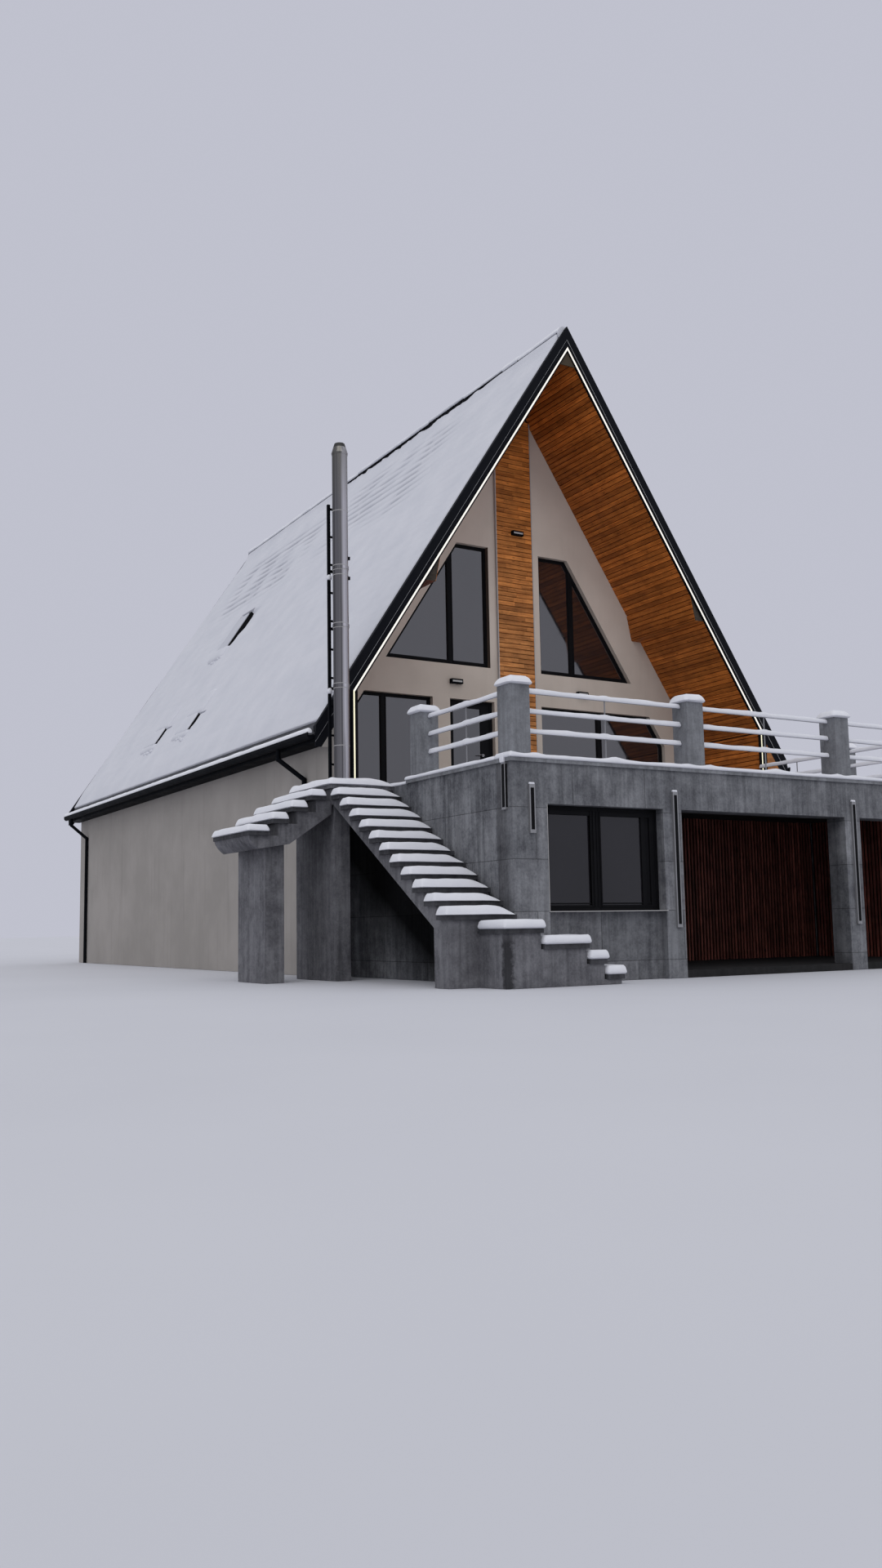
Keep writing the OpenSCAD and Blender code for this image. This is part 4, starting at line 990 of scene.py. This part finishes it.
window_snow = snow_layer("roof_window_snow")
for side in (-1, 1):
    layer = partial(pillow, window_snow, place=partial(on_roof, side=side))
    for k, (wy, ws, wl) in enumerate(ROOF_WINDOWS):
        y1 = wy + ROOF_WINDOW_W
        if k == 0:
            layer((ws + 0.05, wy + 0.04), (ws + wl, y1 - 0.07), 0.088, 0.03, 0.04, 120 + side, step=0.1,
                  rough=0.008, fresh=0.32)
            layer((ws + 1.1, wy - 0.1), (ws + wl + 0.16, y1 + 0.1), 0.05, 0.1, 0.14, 123 + side,
                  lift=0.05, fresh=0.5)
        else:
            for a0, a1, b0 in ((-0.08, 0.64, -0.14), (1.1, wl + 0.14, -0.14), (0.6, 1.14, 0.03)):
                layer((ws + a0, wy + b0), (ws + a1, y1 + 0.12), 0.055, 0.07, 0.1, 124 + k + a0, rough=0.008,
                      lift=0.1 if b0 < 0 else 0.6, fresh=0.5)
        for i in range(4):
            s, y = ws + wl + 0.06 + 0.14 * hashed(i, k, 2), wy - 0.16 + 0.17 * i + 0.06 * hashed(k, i)
            layer((s, y), (s + 0.1, y + 0.12), 0.06, 0.05 + 0.02 * hashed(i, k, 5), 0.05, 130 + 3 * i + k,
                  step=0.04, fresh=0.55)


def in_gutter(a, b, c, side):
    return Vector((side * b, a, c))


GUTTER_Y0, GUTTER_Y1 = 4.742, 20.55
gutter_snow = snow_layer("gutter_snow")
gutter_rims = Shape("gutter_rims", BLACK, "black_metal")
for side in (-1, 1):
    # Painted light: the gutter snow gets the brightest tone, so the strip under the eave reads as lit
    pillow(gutter_snow, (GUTTER_Y0, 5.37), (GUTTER_Y1, 5.462), 3.915, 0.09, 0.036, 140 + side,
           (0, 0, 0, 0.01), 0.1, rough=0.01, place=partial(in_gutter, side=side), sag=0.006, bow=1.5,
           fresh=1)
    rim = [(5.45, 3.87), (5.462, 3.862), (5.472, 3.872), (5.472, 3.92), (5.464, 3.93), (5.452, 3.922)]
    gutter_rims.plate([(side * x, z) for x, z in rim], GUTTER_Y0, GUTTER_Y1 - GUTTER_Y0)

ridge_snow = snow_layer("ridge_snow")
RIDGE_R, RIDGE_C = 0.134, 12.04


def on_ridge(a, b, c):
    turned = b / RIDGE_R
    return Vector(((RIDGE_R + c) * math.sin(turned), a, RIDGE_C + (RIDGE_R + c) * math.cos(turned)))


y, k = 4.79, 0
while y < 20.3:
    end = min(y + 0.5 + 1.3 * hashed(k, 8), 20.5)
    reach_out = 0.184 - within((y + end) / 2, 7.5, 13.8, 1.6) * (0.022 + 0.04 * hashed(k, 6))
    pillow(ridge_snow, (y, -reach_out), (end, reach_out), 0, 0.036 + 0.022 * hashed(k, 5), 0.03,
           160 + k * 1.1, (0, 0, 0.01, 0.01), 0.07, rough=0.014, place=on_ridge)
    y = end - 0.01 + 0.03 * hashed(k, 9)
    k += 1
arc = [(0.16 * math.sin(a), RIDGE_C + 0.16 * math.cos(a)) for a in map(math.radians, range(-120, 121, 12))]
ridge_snow.plate(arc, 4.8, -0.022)
ridge_snow.plate(arc, 20.505, 0.022)

# Trims
# Painted highlight: a pale line along each verge's stepped edge, where its black metal catches the light
verge_lines = Shape("verge_highlight_line", VERGE_HIGHLIGHT, "black_metal")
d, thick, foot_x = 0.074, 0.015, 5.335
for side in (-1, 1):
    corners = ((0, d), (foot_x, d), (foot_x, d + thick), (0, d + thick))
    verge_lines.plate([(side * x, under(x, depth)) for x, depth in corners], 4.708, 0.008)

# Middle and lower end of each lamp on the front
FRONT_LAMPS = [(4.437, 1.96), (-4.437, 1.96), (-1.975, 0.7), (1.7, 0.7)]
LAMP_HALF, LAMP_DEEP, LAMP_TOP, LAMP_EDGE = 0.045, 0.035, 2.6, 0.019
lamp_slots = Shape("lamp_slots", SLOT_BLACK, "black_metal")
for x, z in FRONT_LAMPS:
    half = LAMP_HALF - LAMP_EDGE
    lamp_slots.box((x - half, -LAMP_DEEP - 0.003, z + 0.045), (x + half, -LAMP_DEEP + 0.01, LAMP_TOP - 0.045))
lamp_slots.box((-4.778, 0.115, 2.3), (-4.765, 0.175, 2.87))
lamp_slots.box((-4.768, 0.097, 2.3), (-4.742, 0.11, 2.87))

light_faces = Shape("wall_light_faces", PALE_FACE, "lamp_metal")
for x, y, z in ((-1.431, WALL_Y, 5.475), (0.057, STRIP_Y, 8.638), (1.611, WALL_Y, 5.475)):
    light_faces.box((x - 0.108, y - 0.089, z - 0.016), (x + 0.108, y - 0.08, z + 0.016))

loft_reveals = Shape("loft_window_reveals", REVEAL, "black_metal")
reveals = Shape("lower_window_edges", PALE_FACE, "lamp_metal")
for x in (-LOFT_X0, LOFT_X0):
    loft_reveals.box((x - 0.002, WALL_Y - 0.003, LOFT_Z0), (x + 0.002, WALL_Y + 0.095, LOFT_Z1))
reveals.box((-4.195, -0.022, 0.932), (-2.17, 0.14, 0.941))
reveals.box((-4.184, -0.004, 0.941), (-4.178, 0.14, 2.352))

lamp_snow = snow_layer("lamp_snow")
lamp_tops = [((x, -LAMP_DEEP / 2), (LAMP_HALF, LAMP_DEEP / 2), LAMP_TOP, 0.028) for x, _ in FRONT_LAMPS]
for (x, y), (a, b), z, thick in lamp_tops + [((-4.78, 0.145), (0.022, 0.042), 2.89, 0.12)]:
    pillow(lamp_snow, (x - a, y - b), (x + a, y + b), z, thick, 0.012, 190 + x, step=0.02, rough=0.003)

# Flue
FLUE_X, FLUE_Y, SEAM_R, CAP_R, NECK_R = -5.14, 4.15, 0.1285, 0.135, 0.106


def flue_ring(shape, low, high, sides=40):
    """A ring or a cone on the pipe's axis, between two levels with a height and a radius each."""
    turns = [2 * math.pi * i / sides for i in range(sides)]
    shape.loft(*([(FLUE_X + r * math.cos(t), FLUE_Y + r * math.sin(t), z) for t in turns]
                 for z, r in (low, high)))


# Painted highlight: the pipe's seams are thin pale rings rather than steel, for their lit top edges
painted_light_bands = Shape("flue_seams_painted_highlight", PALE_FACE, "steel", smooth=40)
cap = Shape("flue_cap", FLUE_STEEL, "steel", smooth=40)
cowl = Shape("flue_cowl", SOOT, "steel", smooth=40)
clips = Shape("flue_clips", BLACK, "steel")
clamp_snow = snow_layer("clamp_snow")
for z in (3.63, 4.556, 4.628, 5.536, 5.608, 6.4, 6.486, 6.558, 7.46):
    flue_ring(painted_light_bands, (z, SEAM_R), (z + 0.009, SEAM_R))
flue_ring(cap, (8.415, SEAM_R), (8.445, CAP_R))
flue_ring(cap, (8.445, CAP_R), (8.545, NECK_R))
flue_ring(cowl, (8.545, NECK_R), (8.6125, 0.084))
for z in (6.34, 6.67):
    clips.box((FLUE_X + 0.105, FLUE_Y - 0.075, z), (FLUE_X + 0.14, FLUE_Y - 0.04, z + 0.05), bevel=0.004)
for z in (4.505, 6.375):
    pillow(clamp_snow, (FLUE_X - 0.15, 4.3), (FLUE_X - 0.075, 4.385), z, 0.085, 0.03, 210 + z, step=0.03,
           rough=0.01)

made = {shape.name: shape.make() for shape in SHAPES}
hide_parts("led_profile")

# Floor, light and camera
floor_mesh = bpy.data.meshes.new("floor")
corners = [(400 * x, 400 * y, -0.004) for x, y in ((-1, -1), (1, -1), (1, 1), (-1, 1))]
floor_mesh.from_pydata(corners, [], [(0, 1, 2, 3)])
floor = add_object("floor", floor_mesh)
ground = Look("floor_look", rough=0.9)
ground.set(Base_Color=ground.ramp(ground.noise(0.25, 3), (0.3, (0.535, 0.54, 0.59)),
                                  (0.7, (0.555, 0.56, 0.61))))
floor_mesh.materials.append(ground.material)

world = bpy.data.worlds.new("studio")
scene.world = world
world.use_nodes = True
world.node_tree.nodes.clear()
sky = Nodes(world.node_tree)
light = sky.node("Background", Color=(0.94, 0.96, 1), Strength=0.8)
seen = sky.node("Background", Color=(0.525, 0.535, 0.615), Strength=1)
rays = sky.node("LightPath").outputs
seen_share = sky.total(*((rays[f"Is {kind} Ray"], 1) for kind in ("Camera", "Glossy", "Transmission")))
blend = sky.node("MixShader")
for socket, value in zip(blend.inputs, (seen_share, light.outputs[0], seen.outputs[0])):
    sky.feed(socket, value)
sky.node("OutputWorld", Surface=blend.outputs[0])

sun = bpy.data.lights.new("soft_key", "SUN")
sun.energy, sun.angle, sun.color = 0.75, 0.9, (1, 0.985, 0.96)
sun_object = add_object("soft_key", sun)
sun_object.rotation_mode = "QUATERNION"
sun_object.rotation_quaternion = Vector((0.34, 0.52, -0.78)).to_track_quat("-Z", "Y")

camera = bpy.data.cameras.new("camera")
camera.sensor_fit, camera.sensor_width, camera.lens = "AUTO", 36, 1491.5 / 1920 * 36
camera.clip_start, camera.clip_end = 0.1, 600
camera_object = add_object("camera", camera)
yaw, pitch, roll = (math.radians(a) for a in (30.906, 6.74, -1.01))
turn = Matrix.Rotation(-yaw, 4, "Z") @ Matrix.Rotation(math.pi / 2 + pitch, 4, "X")
place = Matrix.Translation((-13.602, -13.02, 0.749))
camera_object.matrix_world = place @ turn @ Matrix.Rotation(roll, 4, "Z")
scene.camera = camera_object
scene.view_settings.view_transform = "Standard"
